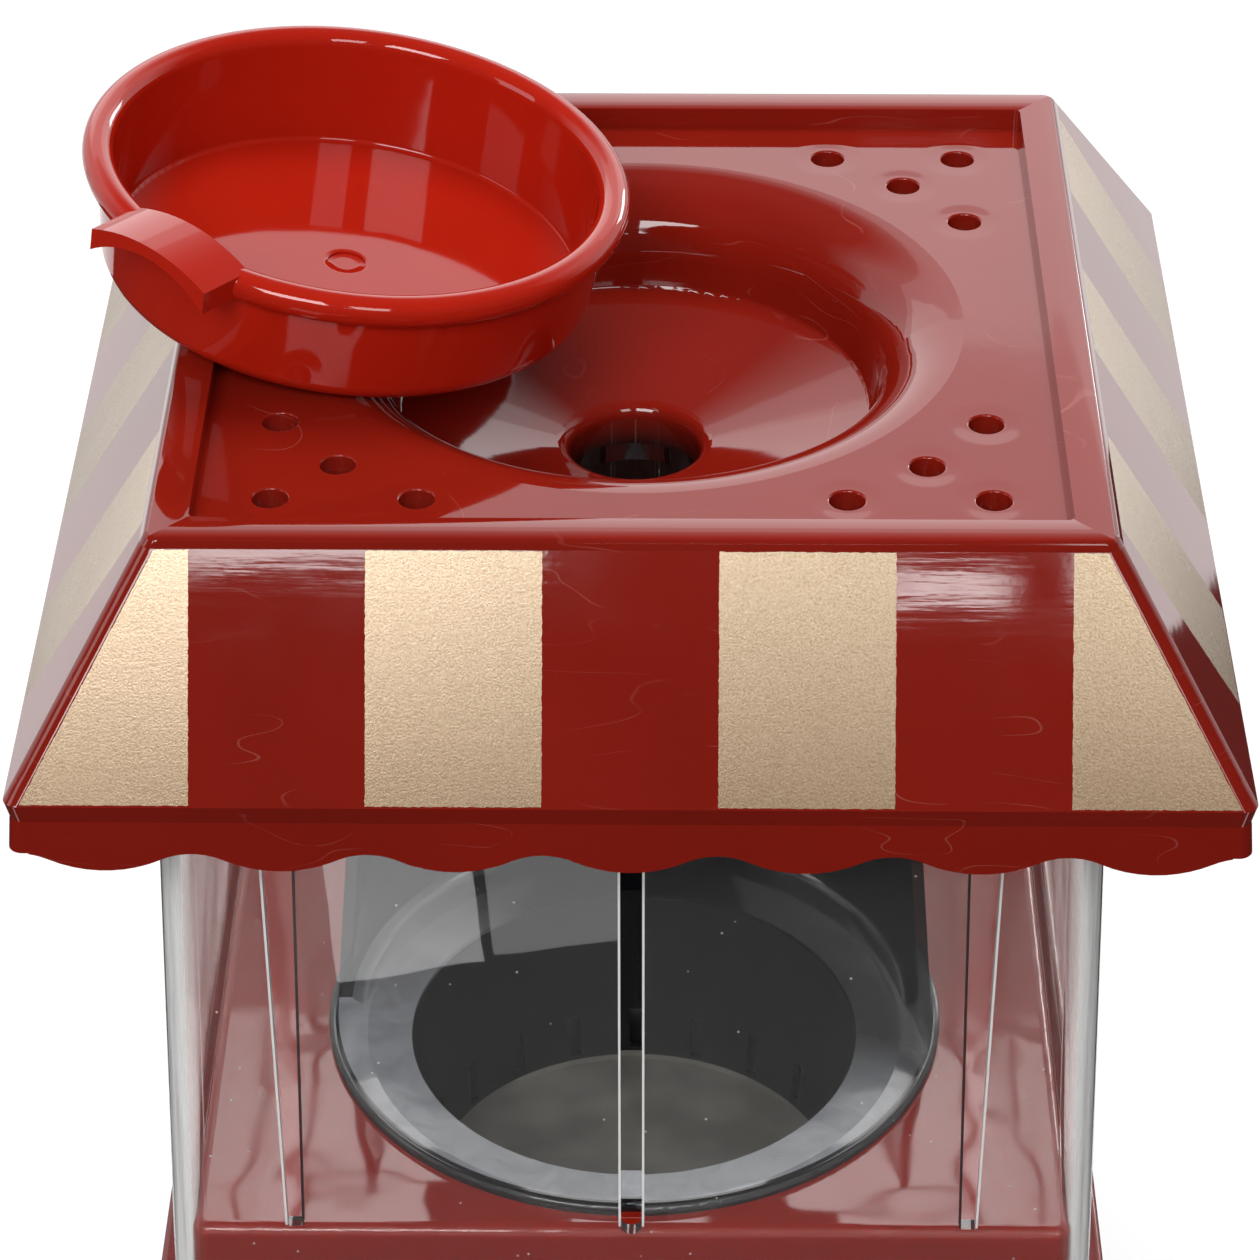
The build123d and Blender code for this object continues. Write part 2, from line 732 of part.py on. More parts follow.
# ---- Fan and motor --------------------------------------------------------
motor_top_z = duct_floor_z - duct_floor
motor_low_z = motor_top_z - motor_height
fan_z = duct_floor_z + fan_gap
with BuildPart() as motor_can:
    with BuildSketch(Plane.XY.offset(motor_low_z)):
        with Locations((0, chamber_y)):
            Circle(motor_radius)
    extrude(amount=motor_height)
    fillet(motor_can.edges().filter_by(GeomType.CIRCLE), motor_edge_round)
    with BuildSketch(Plane.XY.offset(motor_top_z)):
        with Locations((0, chamber_y)):
            Circle(motor_nose_radius)
    extrude(amount=motor_nose)
    with Locations((0, chamber_y, motor_top_z + motor_nose)):
        Hole(shaft_radius + running_gap, depth=motor_nose + shaft_below_duct)
    with BuildSketch(Plane.XY.offset(motor_top_z)):
        with Locations((0, chamber_y)):
            with PolarLocations(motor_screw_x, 2, 30):
                Circle(screw_radius + screw_hole_gap)
    extrude(amount=-(motor_screw_bite + screw_hole_gap), mode=Mode.SUBTRACT)
motor_can.part.label = "motor_can"

with BuildPart() as motor_end_cap:
    with BuildSketch(Plane.XY.offset(motor_low_z)):
        with Locations((0, chamber_y)):
            Circle(end_cap_radius - motor_edge_round)
    extrude(amount=-end_cap_height)
    chamfer(motor_end_cap.edges().group_by(Axis.Z)[0], end_cap_height / 4)
motor_end_cap.part.label = "motor_end_cap"

with BuildPart() as rectifier_board:
    board_z = motor_low_z - end_cap_height - board_thickness
    with BuildSketch(Plane.XY.offset(board_z)):
        with Locations((0, chamber_y)):
            Circle(board_radius)
    extrude(amount=board_thickness)
    # four diodes side by side on the underside
    with BuildSketch(Plane.XZ.offset(-chamber_y - diode_length / 2)):
        with Locations((0, board_z - diode_radius / 2)):
            with GridLocations(diode_radius * 3, 1, 4, 1):
                Circle(diode_radius)
    extrude(amount=diode_length)
rectifier_board.part.label = "rectifier_board"

with BuildPart() as motor_screws:
    with BuildSketch(Plane.XY.offset(duct_floor_z)):
        with Locations((0, chamber_y)):
            with PolarLocations(motor_screw_x, 2, 30):
                Circle(screw_head_radius)
    extrude(amount=screw_head_height)
    with BuildSketch(Plane.XY.offset(duct_floor_z)):
        with Locations((0, chamber_y)):
            with PolarLocations(motor_screw_x, 2, 30):
                Circle(screw_radius)
    extrude(amount=-(duct_floor + motor_screw_bite))
motor_screws.part.label = "motor_screws"

with BuildPart() as motor_shaft:
    with BuildSketch(Plane.XY.offset(duct_floor_z - shaft_below_duct)):
        with Locations((0, chamber_y)):
            Circle(shaft_radius)
    extrude(amount=shaft_below_duct + shaft_above_duct)
    chamfer(motor_shaft.edges().group_by(Axis.Z)[-1], shaft_radius / 4)
motor_shaft.part.label = "motor_shaft"

with BuildPart() as fan_impeller:
    with BuildSketch(Plane.XY.offset(fan_z)):
        with Locations((0, chamber_y)):
            Circle(fan_radius)
    extrude(amount=fan_plate)
    with BuildSketch(Plane.XY.offset(fan_z)):
        with Locations((0, chamber_y)):
            Circle(fan_hub_radius)
    extrude(amount=fan_hub_height)
    blade_length = fan_radius - blade_inner
    with Locations((0, chamber_y, fan_z + blade_height / 2)):
        with PolarLocations(blade_inner + blade_length / 2, blade_count):
            Box(blade_length, blade_thickness, blade_height)
    with Locations((0, chamber_y, fan_z + fan_hub_height)):
        Hole(shaft_radius + running_gap / 2, depth=fan_hub_height)
fan_impeller.part.label = "fan_impeller"

with BuildPart() as fan_nut:
    with BuildSketch(Plane.XY.offset(fan_z + fan_hub_height)):
        with Locations((0, chamber_y)):
            RegularPolygon(nut_width / 2, 6, major_radius=False)
            Circle(shaft_radius + running_gap / 2, mode=Mode.SUBTRACT)
    extrude(amount=nut_height)
fan_nut.part.label = "fan_nut"

# ---- Base housing ---------------------------------------------------------
plate_top_z = foot_height + plate_thickness
skirt_top_z = foot_height + skirt_height
body_low_z = skirt_top_z + skirt_blend
base_front_y = -base_width / 2
with BuildPart() as base_housing:
    for width, z in (
        (base_skirt_width, foot_height),
        (base_skirt_width, skirt_top_z),
        (base_width, body_low_z),
        (base_width, shoulder_z),
    ):
        with BuildSketch(Plane.XY.offset(z)):
            RectangleRounded(width, width, base_corner_radius)
    loft(ruled=True)
    fillet(base_housing.edges().group_by(Axis.Z)[-1], base_wall / 2)
    for width, z in (
        (base_skirt_width, foot_height - cut_over),
        (base_skirt_width, skirt_top_z - base_wall / 2),
        (base_width, body_low_z),
        (base_width, shoulder_z - base_wall),
    ):
        with BuildSketch(Plane.XY.offset(z)):
            inside = width - 2 * base_wall
            RectangleRounded(inside, inside, base_corner_radius - base_wall)
    loft(ruled=True, mode=Mode.SUBTRACT)
    # posts that the base plate is screwed to
    with BuildSketch(Plane.XY.offset(plate_top_z)):
        with GridLocations(2 * post_x, 2 * post_x, 2, 2):
            Circle(post_radius)
    extrude(until=Until.NEXT)
    with BuildSketch(Plane.XY.offset(plate_top_z)):
        with GridLocations(2 * post_x, 2 * post_x, 2, 2):
            Circle(screw_radius + screw_hole_gap)
    extrude(amount=post_hole_depth, mode=Mode.SUBTRACT)
    # opening for the chamber and duct, and the deck's screw holes
    with BuildSketch(Plane.XY.offset(shoulder_z)):
        with Locations((0, chamber_y)):
            Circle(duct_radius + base_opening_gap)
        with GridLocations(2 * deck_boss_x, 2 * deck_boss_x, 2, 2):
            Circle(screw_radius + screw_hole_gap)
    extrude(amount=-base_wall, mode=Mode.SUBTRACT)
    # room in the posts for the heads of the deck's screws
    with BuildSketch(Plane.XY.offset(shoulder_z - base_wall)):
        with GridLocations(2 * deck_boss_x, 2 * deck_boss_x, 2, 2):
            Circle(screw_head_radius + screw_hole_gap)
    extrude(amount=-(screw_head_height + screw_hole_gap), mode=Mode.SUBTRACT)
    # shallow bare panel on the front
    with BuildSketch(Plane.XZ.offset(-base_front_y)):
        with Locations((0, panel_middle_z)):
            RectangleRounded(panel_width, panel_height, panel_round)
    extrude(amount=-panel_recess, mode=Mode.SUBTRACT)
    # cooling slots in both sides
    with BuildSketch(Plane.YZ):
        with Locations((0, louvre_slot_z)):
            with GridLocations(louvre_slot_pitch, 1, louvre_slot_count, 1):
                SlotOverall(louvre_slot_height, louvre_slot_width, rotation=90)
    extrude(amount=base_width, both=True, mode=Mode.SUBTRACT)
    # cut-outs for the switch and the gland
    with BuildSketch(Plane.XZ.offset(-base_front_y)):
        with Locations((switch_x, switch_z)):
            Rectangle(switch_body_width + 2 * loose_gap, switch_body_height + 2 * loose_gap)
    extrude(amount=-2 * base_wall, mode=Mode.SUBTRACT)
    with BuildSketch(Plane.XZ.offset(base_front_y)):
        with Locations((gland_x, gland_z)):
            Circle(gland_radius + contact_gap)
    extrude(amount=2 * base_wall, mode=Mode.SUBTRACT)
base_housing.part.label = "base_housing"

with BuildPart() as base_plate:
    with BuildSketch(Plane.XY.offset(foot_height)):
        plate_width = base_skirt_width - 2 * base_wall - 2 * loose_gap
        RectangleRounded(plate_width, plate_width, base_corner_radius - base_wall)
        with Locations((0, chamber_y)):
            with GridLocations(grille_pitch, 1, grille_slots, 1):
                SlotOverall(grille_slot_length, grille_slot_width, rotation=90, mode=Mode.SUBTRACT)
        with GridLocations(2 * post_x, 2 * post_x, 2, 2):
            Circle(screw_radius + screw_hole_gap, mode=Mode.SUBTRACT)
        with GridLocations(2 * foot_x, 2 * foot_y, 2, 2):
            Circle(foot_stem_radius + contact_gap, mode=Mode.SUBTRACT)
    extrude(amount=plate_thickness)
base_plate.part.label = "base_plate"

with BuildPart() as base_screws:
    with BuildSketch(Plane.XY.offset(foot_height)):
        with GridLocations(2 * post_x, 2 * post_x, 2, 2):
            Circle(screw_head_radius)
    extrude(amount=-screw_head_height)
    with BuildSketch(Plane.XY.offset(foot_height)):
        with GridLocations(2 * post_x, 2 * post_x, 2, 2):
            Circle(screw_radius)
    extrude(amount=plate_thickness + post_hole_depth - cut_over)
base_screws.part.label = "base_screws"

with BuildPart() as rubber_feet:
    with GridLocations(2 * foot_x, 2 * foot_y, 2, 2):
        Cone(foot_tip_radius, foot_radius, foot_height, align=(Align.CENTER, Align.CENTER, Align.MIN))
    with BuildSketch(Plane.XY.offset(foot_height)):
        with GridLocations(2 * foot_x, 2 * foot_y, 2, 2):
            Circle(foot_stem_radius)
    extrude(amount=plate_thickness + foot_stem_over)
rubber_feet.part.label = "rubber_feet"

# ---- Switch ---------------------------------------------------------------
cavity_half = switch_body_height / 2 - switch_wall
pin_y = base_front_y + rocker_pin_depth
with BuildPart() as switch_housing:
    with BuildSketch(Plane.XZ.offset(-base_front_y)):
        with Locations((switch_x, switch_z)):
            RectangleRounded(switch_flange_width, switch_flange_height, switch_flange)
    extrude(amount=switch_flange)
    fillet(switch_housing.edges().group_by(Axis.Y)[0], switch_flange / 2)
    with BuildSketch(Plane.XZ.offset(-base_front_y)):
        with Locations((switch_x, switch_z)):
            Rectangle(switch_body_width, switch_body_height)
    extrude(amount=-switch_depth)
    with BuildSketch(Plane.XZ.offset(-base_front_y + switch_flange)):
        with Locations((switch_x, switch_z)):
            Rectangle(switch_body_width - 2 * switch_wall, 2 * cavity_half)
    extrude(amount=-(switch_flange + switch_depth - switch_wall), mode=Mode.SUBTRACT)
    with BuildSketch(Plane.YZ.offset(switch_x - switch_body_width / 2 + switch_wall / 2)):
        with Locations((pin_y, switch_z)):
            Circle(rocker_pin_radius)
    extrude(amount=switch_body_width - switch_wall)
switch_housing.part.label = "switch_housing"

# The rocker's two faces meet over the pin; it stands turned to OFF at rest.
with BuildPart() as power_rocker:
    rocker_width = switch_body_width - 2 * switch_wall - 2 * loose_gap
    rocker_half = cavity_half - loose_gap
    rocker_plane = Plane(
        (switch_x - rocker_width / 2, pin_y, switch_z), x_dir=(0, 1, 0), z_dir=(1, 0, 0)
    )
    with BuildSketch(rocker_plane) as rocker_section:
        with BuildLine():
            end_y = -rocker_peak
            end_z = math.sqrt(rocker_half**2 - rocker_peak**2)
            valley_y = end_y + end_z * math.tan(math.radians(rocker_throw / 2))
            back_z = math.sqrt(rocker_half**2 - rocker_back**2)
            upper_end = ThreePointArc((end_y, end_z), (0, rocker_half), (rocker_back, back_z))
            lower_end = ThreePointArc((end_y, -end_z), (0, -rocker_half), (rocker_back, -back_z))
            Polyline(upper_end @ 0, (valley_y, 0), lower_end @ 0)
            Line(upper_end @ 1, lower_end @ 1)
        make_face()
        Circle(rocker_pin_radius + running_gap, mode=Mode.SUBTRACT)
    extrude(amount=rocker_width)
power_rocker.part = power_rocker.part.rotate(
    Axis((switch_x, pin_y, switch_z), (1, 0, 0)), rocker_throw / 2
)
power_rocker.part.label = "power_rocker"

# ---- Cord gland and terminals --------------------------------------------
with BuildPart() as cord_gland:
    with BuildSketch(Plane.XZ.offset(base_front_y)):
        with Locations((gland_x, gland_z)):
            Circle(gland_flange_radius)
    extrude(amount=-gland_flange)
    fillet(cord_gland.edges().group_by(Axis.Y)[-1], gland_flange / 2)
    with BuildSketch(Plane.XZ.offset(base_front_y)):
        with Locations((gland_x, gland_z)):
            Circle(gland_radius)
    extrude(amount=gland_length)
    with BuildSketch(Plane.XZ.offset(base_front_y - gland_flange)):
        with Locations((gland_x, gland_z)):
            Circle(gland_bore)
    extrude(amount=gland_flange + gland_length, mode=Mode.SUBTRACT)
cord_gland.part.label = "cord_gland"

with BuildPart() as terminal_block:
    with BuildSketch(Plane.XY.offset(plate_top_z)):
        with Locations((gland_x, terminal_y)):
            Rectangle(terminal_width, terminal_depth)
    extrude(amount=terminal_height)
    way_pitch = terminal_width / terminal_ways
    with Locations((gland_x, terminal_y, plate_top_z + terminal_height)):
        with GridLocations(way_pitch, 1, terminal_ways, 1):
            Hole(way_pitch / 4, depth=terminal_height / 2)
terminal_block.part.label = "terminal_block"

# ---- Measuring cup --------------------------------------------------------
# The underside is a plane that leans on the inner edge of the roof's left rim
# and reaches down over the pit, so its height follows from that edge.
lean_x = math.tan(math.radians(cup_tilt_right))
lean_y = math.tan(math.radians(cup_tilt_front))
touch_x = -deck_half
flat_radius = cup_base_radius - cup_base_round
touch_y = cup_y - math.sqrt(flat_radius**2 - (touch_x - cup_x) ** 2)
cup_low_z = rim_z + contact_gap + (touch_x - cup_x) * lean_x - (touch_y - cup_y) * lean_y
cup_frame = Plane(
    Location((cup_x, cup_y, cup_low_z), (cup_tilt_front, cup_tilt_right, 0))
)
with BuildPart() as measuring_cup:
    with BuildSketch(Plane.XZ):
        with BuildLine():
            FilletPolyline(
                (0, 0),
                (cup_base_radius, 0),
                (cup_top_radius, cup_depth),
                (0, cup_depth),
                radius=[0, cup_base_round, 0, 0],
                close=True,
            )
        make_face()
    revolve(axis=Axis.Z)
    with BuildSketch(Plane.XZ):
        with Locations((cup_rim_radius - cup_rim_roll, cup_depth)):
            Circle(cup_rim_roll)
    revolve(axis=Axis.Z)
    # thumb tab: an arched strip over the rim
    tab_plane = Plane.YZ.offset(tab_root)
    with BuildSketch(tab_plane):
        with BuildLine():
            tab_low = cup_depth + tab_rise
            top_arc = ThreePointArc(
                (-tab_width / 2, tab_low), (0, tab_low + tab_arch), (tab_width / 2, tab_low)
            )
            low_arc = ThreePointArc(
                (-tab_width / 2, tab_low - tab_return),
                (0, tab_low + tab_arch - tab_thickness),
                (tab_width / 2, tab_low - tab_return),
            )
            Line(top_arc @ 0, low_arc @ 0)
            Line(top_arc @ 1, low_arc @ 1)
        make_face()
    extrude(amount=tab_reach - tab_root)
    # hollow
    with BuildSketch(Plane.XZ):
        with BuildLine():
            roll_in = cup_rim_radius - 2 * cup_rim_roll
            FilletPolyline(
                (0, cup_wall),
                (cup_base_radius - cup_wall, cup_wall),
                (roll_in, cup_depth),
                (roll_in, cup_depth + 4 * cup_rim_roll),
                (0, cup_depth + 4 * cup_rim_roll),
                radius=[0, cup_inner_round, 0, 0, 0],
                close=True,
            )
        make_face()
    revolve(axis=Axis.Z, mode=Mode.SUBTRACT)
    with Locations((0, 0, cup_wall)):
        Hole(cup_gate_radius, depth=cup_gate_depth)
measuring_cup.part = measuring_cup.part.moved(Location((0, 0, 0), (0, 0, tab_angle)))
measuring_cup.part = measuring_cup.part.moved(cup_frame.location)
measuring_cup.part.label = "measuring_cup"

for piece in (
    roof_canopy,
    clear_case,
    popping_deck,
    deck_screws,
    chute_hood,
    popping_chamber,
    chamber_gasket,
    chute_screws,
    air_duct,
    heater_frame,
    heater_coil,
    thermostat,
    thermal_fuse,
    motor_can,
    motor_end_cap,
    rectifier_board,
    motor_screws,
    motor_shaft,
    fan_impeller,
    fan_nut,
    base_housing,
    base_plate,
    base_screws,
    rubber_feet,
    switch_housing,
    power_rocker,
    cord_gland,
    terminal_block,
    measuring_cup,
):
    export_step(piece.part, f"parts/{piece.part.label}.step")
    print(piece.part.label, len(piece.part.solids()), round(piece.part.volume, 1))
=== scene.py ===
import json
import math

import bpy
from mathutils import Matrix, Vector


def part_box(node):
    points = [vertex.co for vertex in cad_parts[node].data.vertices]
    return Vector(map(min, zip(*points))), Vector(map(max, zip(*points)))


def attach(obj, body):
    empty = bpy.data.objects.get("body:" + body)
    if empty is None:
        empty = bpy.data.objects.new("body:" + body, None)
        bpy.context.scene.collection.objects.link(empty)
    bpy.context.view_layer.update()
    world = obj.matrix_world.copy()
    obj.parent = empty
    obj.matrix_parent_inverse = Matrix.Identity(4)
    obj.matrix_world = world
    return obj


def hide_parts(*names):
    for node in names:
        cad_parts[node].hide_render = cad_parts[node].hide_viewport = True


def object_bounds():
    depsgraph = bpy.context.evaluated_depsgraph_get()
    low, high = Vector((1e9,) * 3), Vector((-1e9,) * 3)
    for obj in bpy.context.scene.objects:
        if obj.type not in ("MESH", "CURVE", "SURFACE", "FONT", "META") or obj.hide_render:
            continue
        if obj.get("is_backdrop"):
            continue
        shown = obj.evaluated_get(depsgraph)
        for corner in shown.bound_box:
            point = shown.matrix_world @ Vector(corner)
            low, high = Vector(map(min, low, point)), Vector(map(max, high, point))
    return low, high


# Hot-air popcorn maker in the form of a small fairground booth.
# Everything is in metres, +Z up, -Y the front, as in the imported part.
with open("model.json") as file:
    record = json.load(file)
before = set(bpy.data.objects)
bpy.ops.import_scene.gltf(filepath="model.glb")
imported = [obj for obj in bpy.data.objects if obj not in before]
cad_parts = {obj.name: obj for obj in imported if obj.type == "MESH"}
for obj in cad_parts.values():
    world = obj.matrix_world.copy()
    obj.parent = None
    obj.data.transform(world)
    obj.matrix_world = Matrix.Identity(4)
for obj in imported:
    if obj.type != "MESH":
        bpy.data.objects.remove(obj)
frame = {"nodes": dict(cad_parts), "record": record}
nodes = frame["nodes"]
cadLow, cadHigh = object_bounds()
mm = 0.001
print("frame loaded:", len(nodes), "nodes")


def linear(hexCode):
    # sRGB hex to the linear colour that a shader wants
    parts = [int(hexCode[i : i + 2], 16) / 255 for i in (1, 3, 5)]
    return tuple(c / 12.92 if c < 0.0405 else ((c + 0.055) / 1.055) ** 2.4 for c in parts) + (1.0,)


def addNode(tree, kind, links=None, values=None, **settings):
    # one node, with its settings, its fixed values and what feeds it
    # a Mix node for colours has its factor at 0, its colours at 6 and 7, and its result at 2
    node = tree.nodes.new(kind)
    for name, value in settings.items():
        setattr(node, name, value)
    for key, value in (values or {}).items():
        node.inputs[key].default_value = value
    for key, socket in (links or {}).items():
        tree.links.new(socket, node.inputs[key])
    return node


def startMaterial(name, values):
    # a material whose Principled shader already has its fixed values
    material = bpy.data.materials.new(name)
    material.use_nodes = True
    tree = material.node_tree
    shader = tree.nodes["Principled BSDF"]
    for key, value in values.items():
        shader.inputs[key].default_value = value
    place = addNode(tree, "ShaderNodeTexCoord")
    scaled = addNode(
        tree,
        "ShaderNodeVectorMath",
        {0: place.outputs["Object"]},
        {1: (1000, 1000, 1000)},
        operation="MULTIPLY",
    )
    return material, tree, shader, scaled.outputs[0]  # last one is the place in millimetres


def paint(node, material):
    mesh = nodes[node].data
    mesh.materials.clear()
    mesh.materials.append(material)


# what all the moulded plastics share
glossPlastic = {
    "ior": 1.54,
    "rippleSize": 17.0,  # mm, waves left by the mould's cooling
    "peelSize": 1.3,  # mm, fine orange peel
    "peelHeight": 0.0012,  # mm
    "smudgeSize": 22.0,  # mm, finger marks and dust film
    "toneSize": 45.0,  # mm, slow change of colour
    "toneSpan": (0.3, 0.7),  # between these levels of the noise the colour changes
    "smudgeSpan": (0.42, 0.72),  # and between these a smudge dulls the gloss
    "scatter": (0.004, 0.001, 0.0006),  # m, how far red, green and blue light travel inside
}


def mouldedPlastic(
    name, colour, roughness, rippleHeight, tone=0.06, smudge=0.05, subsurface=0.0, relief=None
):
    look = glossPlastic
    material, tree, shader, place = startMaterial(
        name,
        {"IOR": look["ior"], "Subsurface Weight": subsurface, "Subsurface Radius": look["scatter"]},
    )
    toneNoise = addNode(
        tree, "ShaderNodeTexNoise", {"Vector": place}, {"Scale": 1 / look["toneSize"], "Detail": 3.0}
    )
    darker = tuple(c * (1 - tone) for c in linear(colour)[:3]) + (1.0,)
    lighter = tuple(min(1.0, c * (1 + tone)) for c in linear(colour)[:3]) + (1.0,)
    toneRamp = addNode(tree, "ShaderNodeValToRGB", {0: toneNoise.outputs["Fac"]})
    for stop, level, shade in zip(toneRamp.color_ramp.elements, look["toneSpan"], (darker, lighter)):
        stop.position = level
        stop.color = shade
    smudgeNoise = addNode(
        tree,
        "ShaderNodeTexNoise",
        {"Vector": place},
        {"Scale": 1 / look["smudgeSize"], "Detail": 6.0, "Roughness": 0.62},
    )
    rough = addNode(
        tree,
        "ShaderNodeMapRange",
        {"Value": smudgeNoise.outputs["Fac"]},
        {
            "From Min": look["smudgeSpan"][0],
            "From Max": look["smudgeSpan"][1],
            "To Min": roughness,
            "To Max": roughness + smudge,
        },
    )
    ripple = addNode(
        tree, "ShaderNodeTexNoise", {"Vector": place}, {"Scale": 1 / look["rippleSize"], "Detail": 1.0}
    )
    peel = addNode(
        tree, "ShaderNodeTexNoise", {"Vector": place}, {"Scale": 1 / look["peelSize"], "Detail": 1.0}
    )
    waves = addNode(
        tree,
        "ShaderNodeBump",
        {"Height": ripple.outputs["Fac"]},
        {"Strength": 1.0, "Distance": rippleHeight * mm},
    )
    if relief:
        waves = addNode(
            tree,
            "ShaderNodeBump",
            {"Height": relief(tree, place), "Normal": waves.outputs["Normal"]},
            {"Strength": 1.0, "Distance": mm},
        )
    skin = addNode(
        tree,
        "ShaderNodeBump",
        {"Height": peel.outputs["Fac"], "Normal": waves.outputs["Normal"]},
        {"Strength": 1.0, "Distance": look["peelHeight"] * mm},
    )
    tree.links.new(toneRamp.outputs["Color"], shader.inputs["Base Color"])
    tree.links.new(rough.outputs["Result"], shader.inputs["Roughness"])
    tree.links.new(skin.outputs["Normal"], shader.inputs["Normal"])
    return material, tree, shader, place, toneRamp, rough, skin


gate = {"centre": (-50.65, 12.9, 301.3), "dimple": 2.4, "edge": 4.2, "depth": 0.35}  # mm


def cupRelief(tree, place):
    # the sink mark that the moulding gate leaves in the middle of the floor
    away = addNode(
        tree, "ShaderNodeVectorMath", {0: place}, {1: gate["centre"]}, operation="DISTANCE"
    ).outputs["Value"]
    return addNode(
        tree,
        "ShaderNodeMapRange",
        {"Value": away},
        {"From Min": gate["dimple"], "From Max": gate["edge"], "To Min": -gate["depth"], "To Max": 0.0},
        interpolation_type="SMOOTHSTEP",
    ).outputs[0]


# Housing: red ABS, glossy from a polished mould, so it mirrors pale light over a deep red
housingAbs = mouldedPlastic("housingAbs", "#80190E", 0.09, 0.05)[0]
# Deck: the same ABS with deeper mould waves, which bend what it mirrors
deckAbs = mouldedPlastic("deckAbs", "#80190E", 0.06, 0.4)[0]
# Cup: polypropylene, a brighter red that lets a little light in, with sharp highlights
cupPolypropylene = mouldedPlastic(
    "cupPolypropylene", "#B4200F", 0.045, 0.05, smudge=0.03, subsurface=0.06, relief=cupRelief
)[0]


chuteFinish = {
    "black": "#141518",
    "ring": "#8A8D93",  # painted sheen: the ring's face is coloured a pale satin grey, standing in for the light it mirrors
    "ringMiddle": (0.0, -17.0, 0.0),  # mm
    "ringRadius": 55.2,  # mm, outside it the edge stays black
    "ringTop": 160.5,  # mm
    "sheenFadeSpan": (-24.0, 6.0),  # mm, towards the back the painted sheen fades into painted shade between these
    "lean": 0.6,  # and sooner on the right
    "cloudScale": 0.12,  # per mm, how fine the painted sheen is mottled
    "cloudSpan": (0.35, 0.65),
    "cloudLow": 0.8,  # the share of painted sheen in its weakest places
    "fallTop": 161.0,  # mm, below it the funnel's slope is bent
    "sideFall": 0.0016,  # mm of height for each square millimetre from the middle
}


def chuteRelief(tree, place):
    # the funnel falls a little more steeply at its two sides
    axes = addNode(tree, "ShaderNodeSeparateXYZ", {0: place})
    square = addNode(
        tree, "ShaderNodeMath", {0: axes.outputs["X"], 1: axes.outputs["X"]}, operation="MULTIPLY"
    )
    onRing = addNode(
        tree, "ShaderNodeMath", {0: axes.outputs["Z"]}, {1: chuteFinish["fallTop"]}, operation="LESS_THAN"
    )
    rise = addNode(tree, "ShaderNodeMath", {0: square.outputs[0], 1: onRing.outputs[0]}, operation="MULTIPLY")
    return addNode(
        tree, "ShaderNodeMath", {0: rise.outputs[0]}, {1: chuteFinish["sideFall"]}, operation="MULTIPLY"
    ).outputs[0]


def chutePlastic():
    look = chuteFinish
    material, tree, shader, place, tone = mouldedPlastic(
        "blackAbs", look["black"], 0.06, 0.25, smudge=0.04, relief=chuteRelief
    )[:5]
    flat = addNode(
        tree, "ShaderNodeVectorMath", {0: place}, {1: (1.0, 1.0, 0.0)}, operation="MULTIPLY"
    ).outputs[0]
    away = addNode(
        tree, "ShaderNodeVectorMath", {0: flat}, {1: look["ringMiddle"]}, operation="DISTANCE"
    ).outputs["Value"]
    within = addNode(
        tree, "ShaderNodeMath", {0: away}, {1: look["ringRadius"]}, operation="LESS_THAN"
    ).outputs[0]
    axes = addNode(tree, "ShaderNodeSeparateXYZ", {0: place})
    low = addNode(
        tree, "ShaderNodeMath", {0: axes.outputs["Z"]}, {1: look["ringTop"]}, operation="LESS_THAN"
    ).outputs[0]
    reach = addNode(
        tree,
        "ShaderNodeMath",
        {0: axes.outputs["X"], 2: axes.outputs["Y"]},
        {1: look["lean"]},
        operation="MULTIPLY_ADD",
    ).outputs[0]
    ahead = addNode(
        tree,
        "ShaderNodeMapRange",
        {"Value": reach},
        {"From Min": look["sheenFadeSpan"][1], "From Max": look["sheenFadeSpan"][0]},
        interpolation_type="SMOOTHSTEP",
    ).outputs[0]
    # painted sheen: pale grey on the ring's face, fading into painted shade towards the back and the right
    wearAndPaintedSheen = addNode(tree, "ShaderNodeMath", {0: within, 1: low}, operation="MULTIPLY").outputs[0]
    wearAndPaintedSheen = addNode(tree, "ShaderNodeMath", {0: wearAndPaintedSheen, 1: ahead}, operation="MULTIPLY").outputs[0]
    cloud = addNode(
        tree,
        "ShaderNodeTexNoise",
        {"Vector": place},
        {"Scale": look["cloudScale"], "Detail": 3.0, "Distortion": 1.5},
    ).outputs["Fac"]
    cloudLow, cloudHigh = look["cloudSpan"]
    cloud = addNode(
        tree,
        "ShaderNodeMapRange",
        {"Value": cloud},
        {"From Min": cloudLow, "From Max": cloudHigh, "To Min": look["cloudLow"]},
    ).outputs[0]
    wearAndPaintedSheen = addNode(tree, "ShaderNodeMath", {0: wearAndPaintedSheen, 1: cloud}, operation="MULTIPLY").outputs[0]
    colour = addNode(
        tree,
        "ShaderNodeMix",
        {0: wearAndPaintedSheen, 6: tone.outputs["Color"]},
        {7: linear(look["ring"])},
        data_type="RGBA",
    ).outputs[2]
    tree.links.new(colour, shader.inputs["Base Color"])
    return material


# Chute: glossy black ABS, which mirrors the window, with a painted pale sheen on its ring's face that fades
# towards the back
blackAbs = chutePlastic()
# Base plate, motor cap, thermostat, switch body and gland: black nylon, satin and nearly dull
satinNylon = mouldedPlastic("satinNylon", "#16161A", 0.42, 0.02)[0]

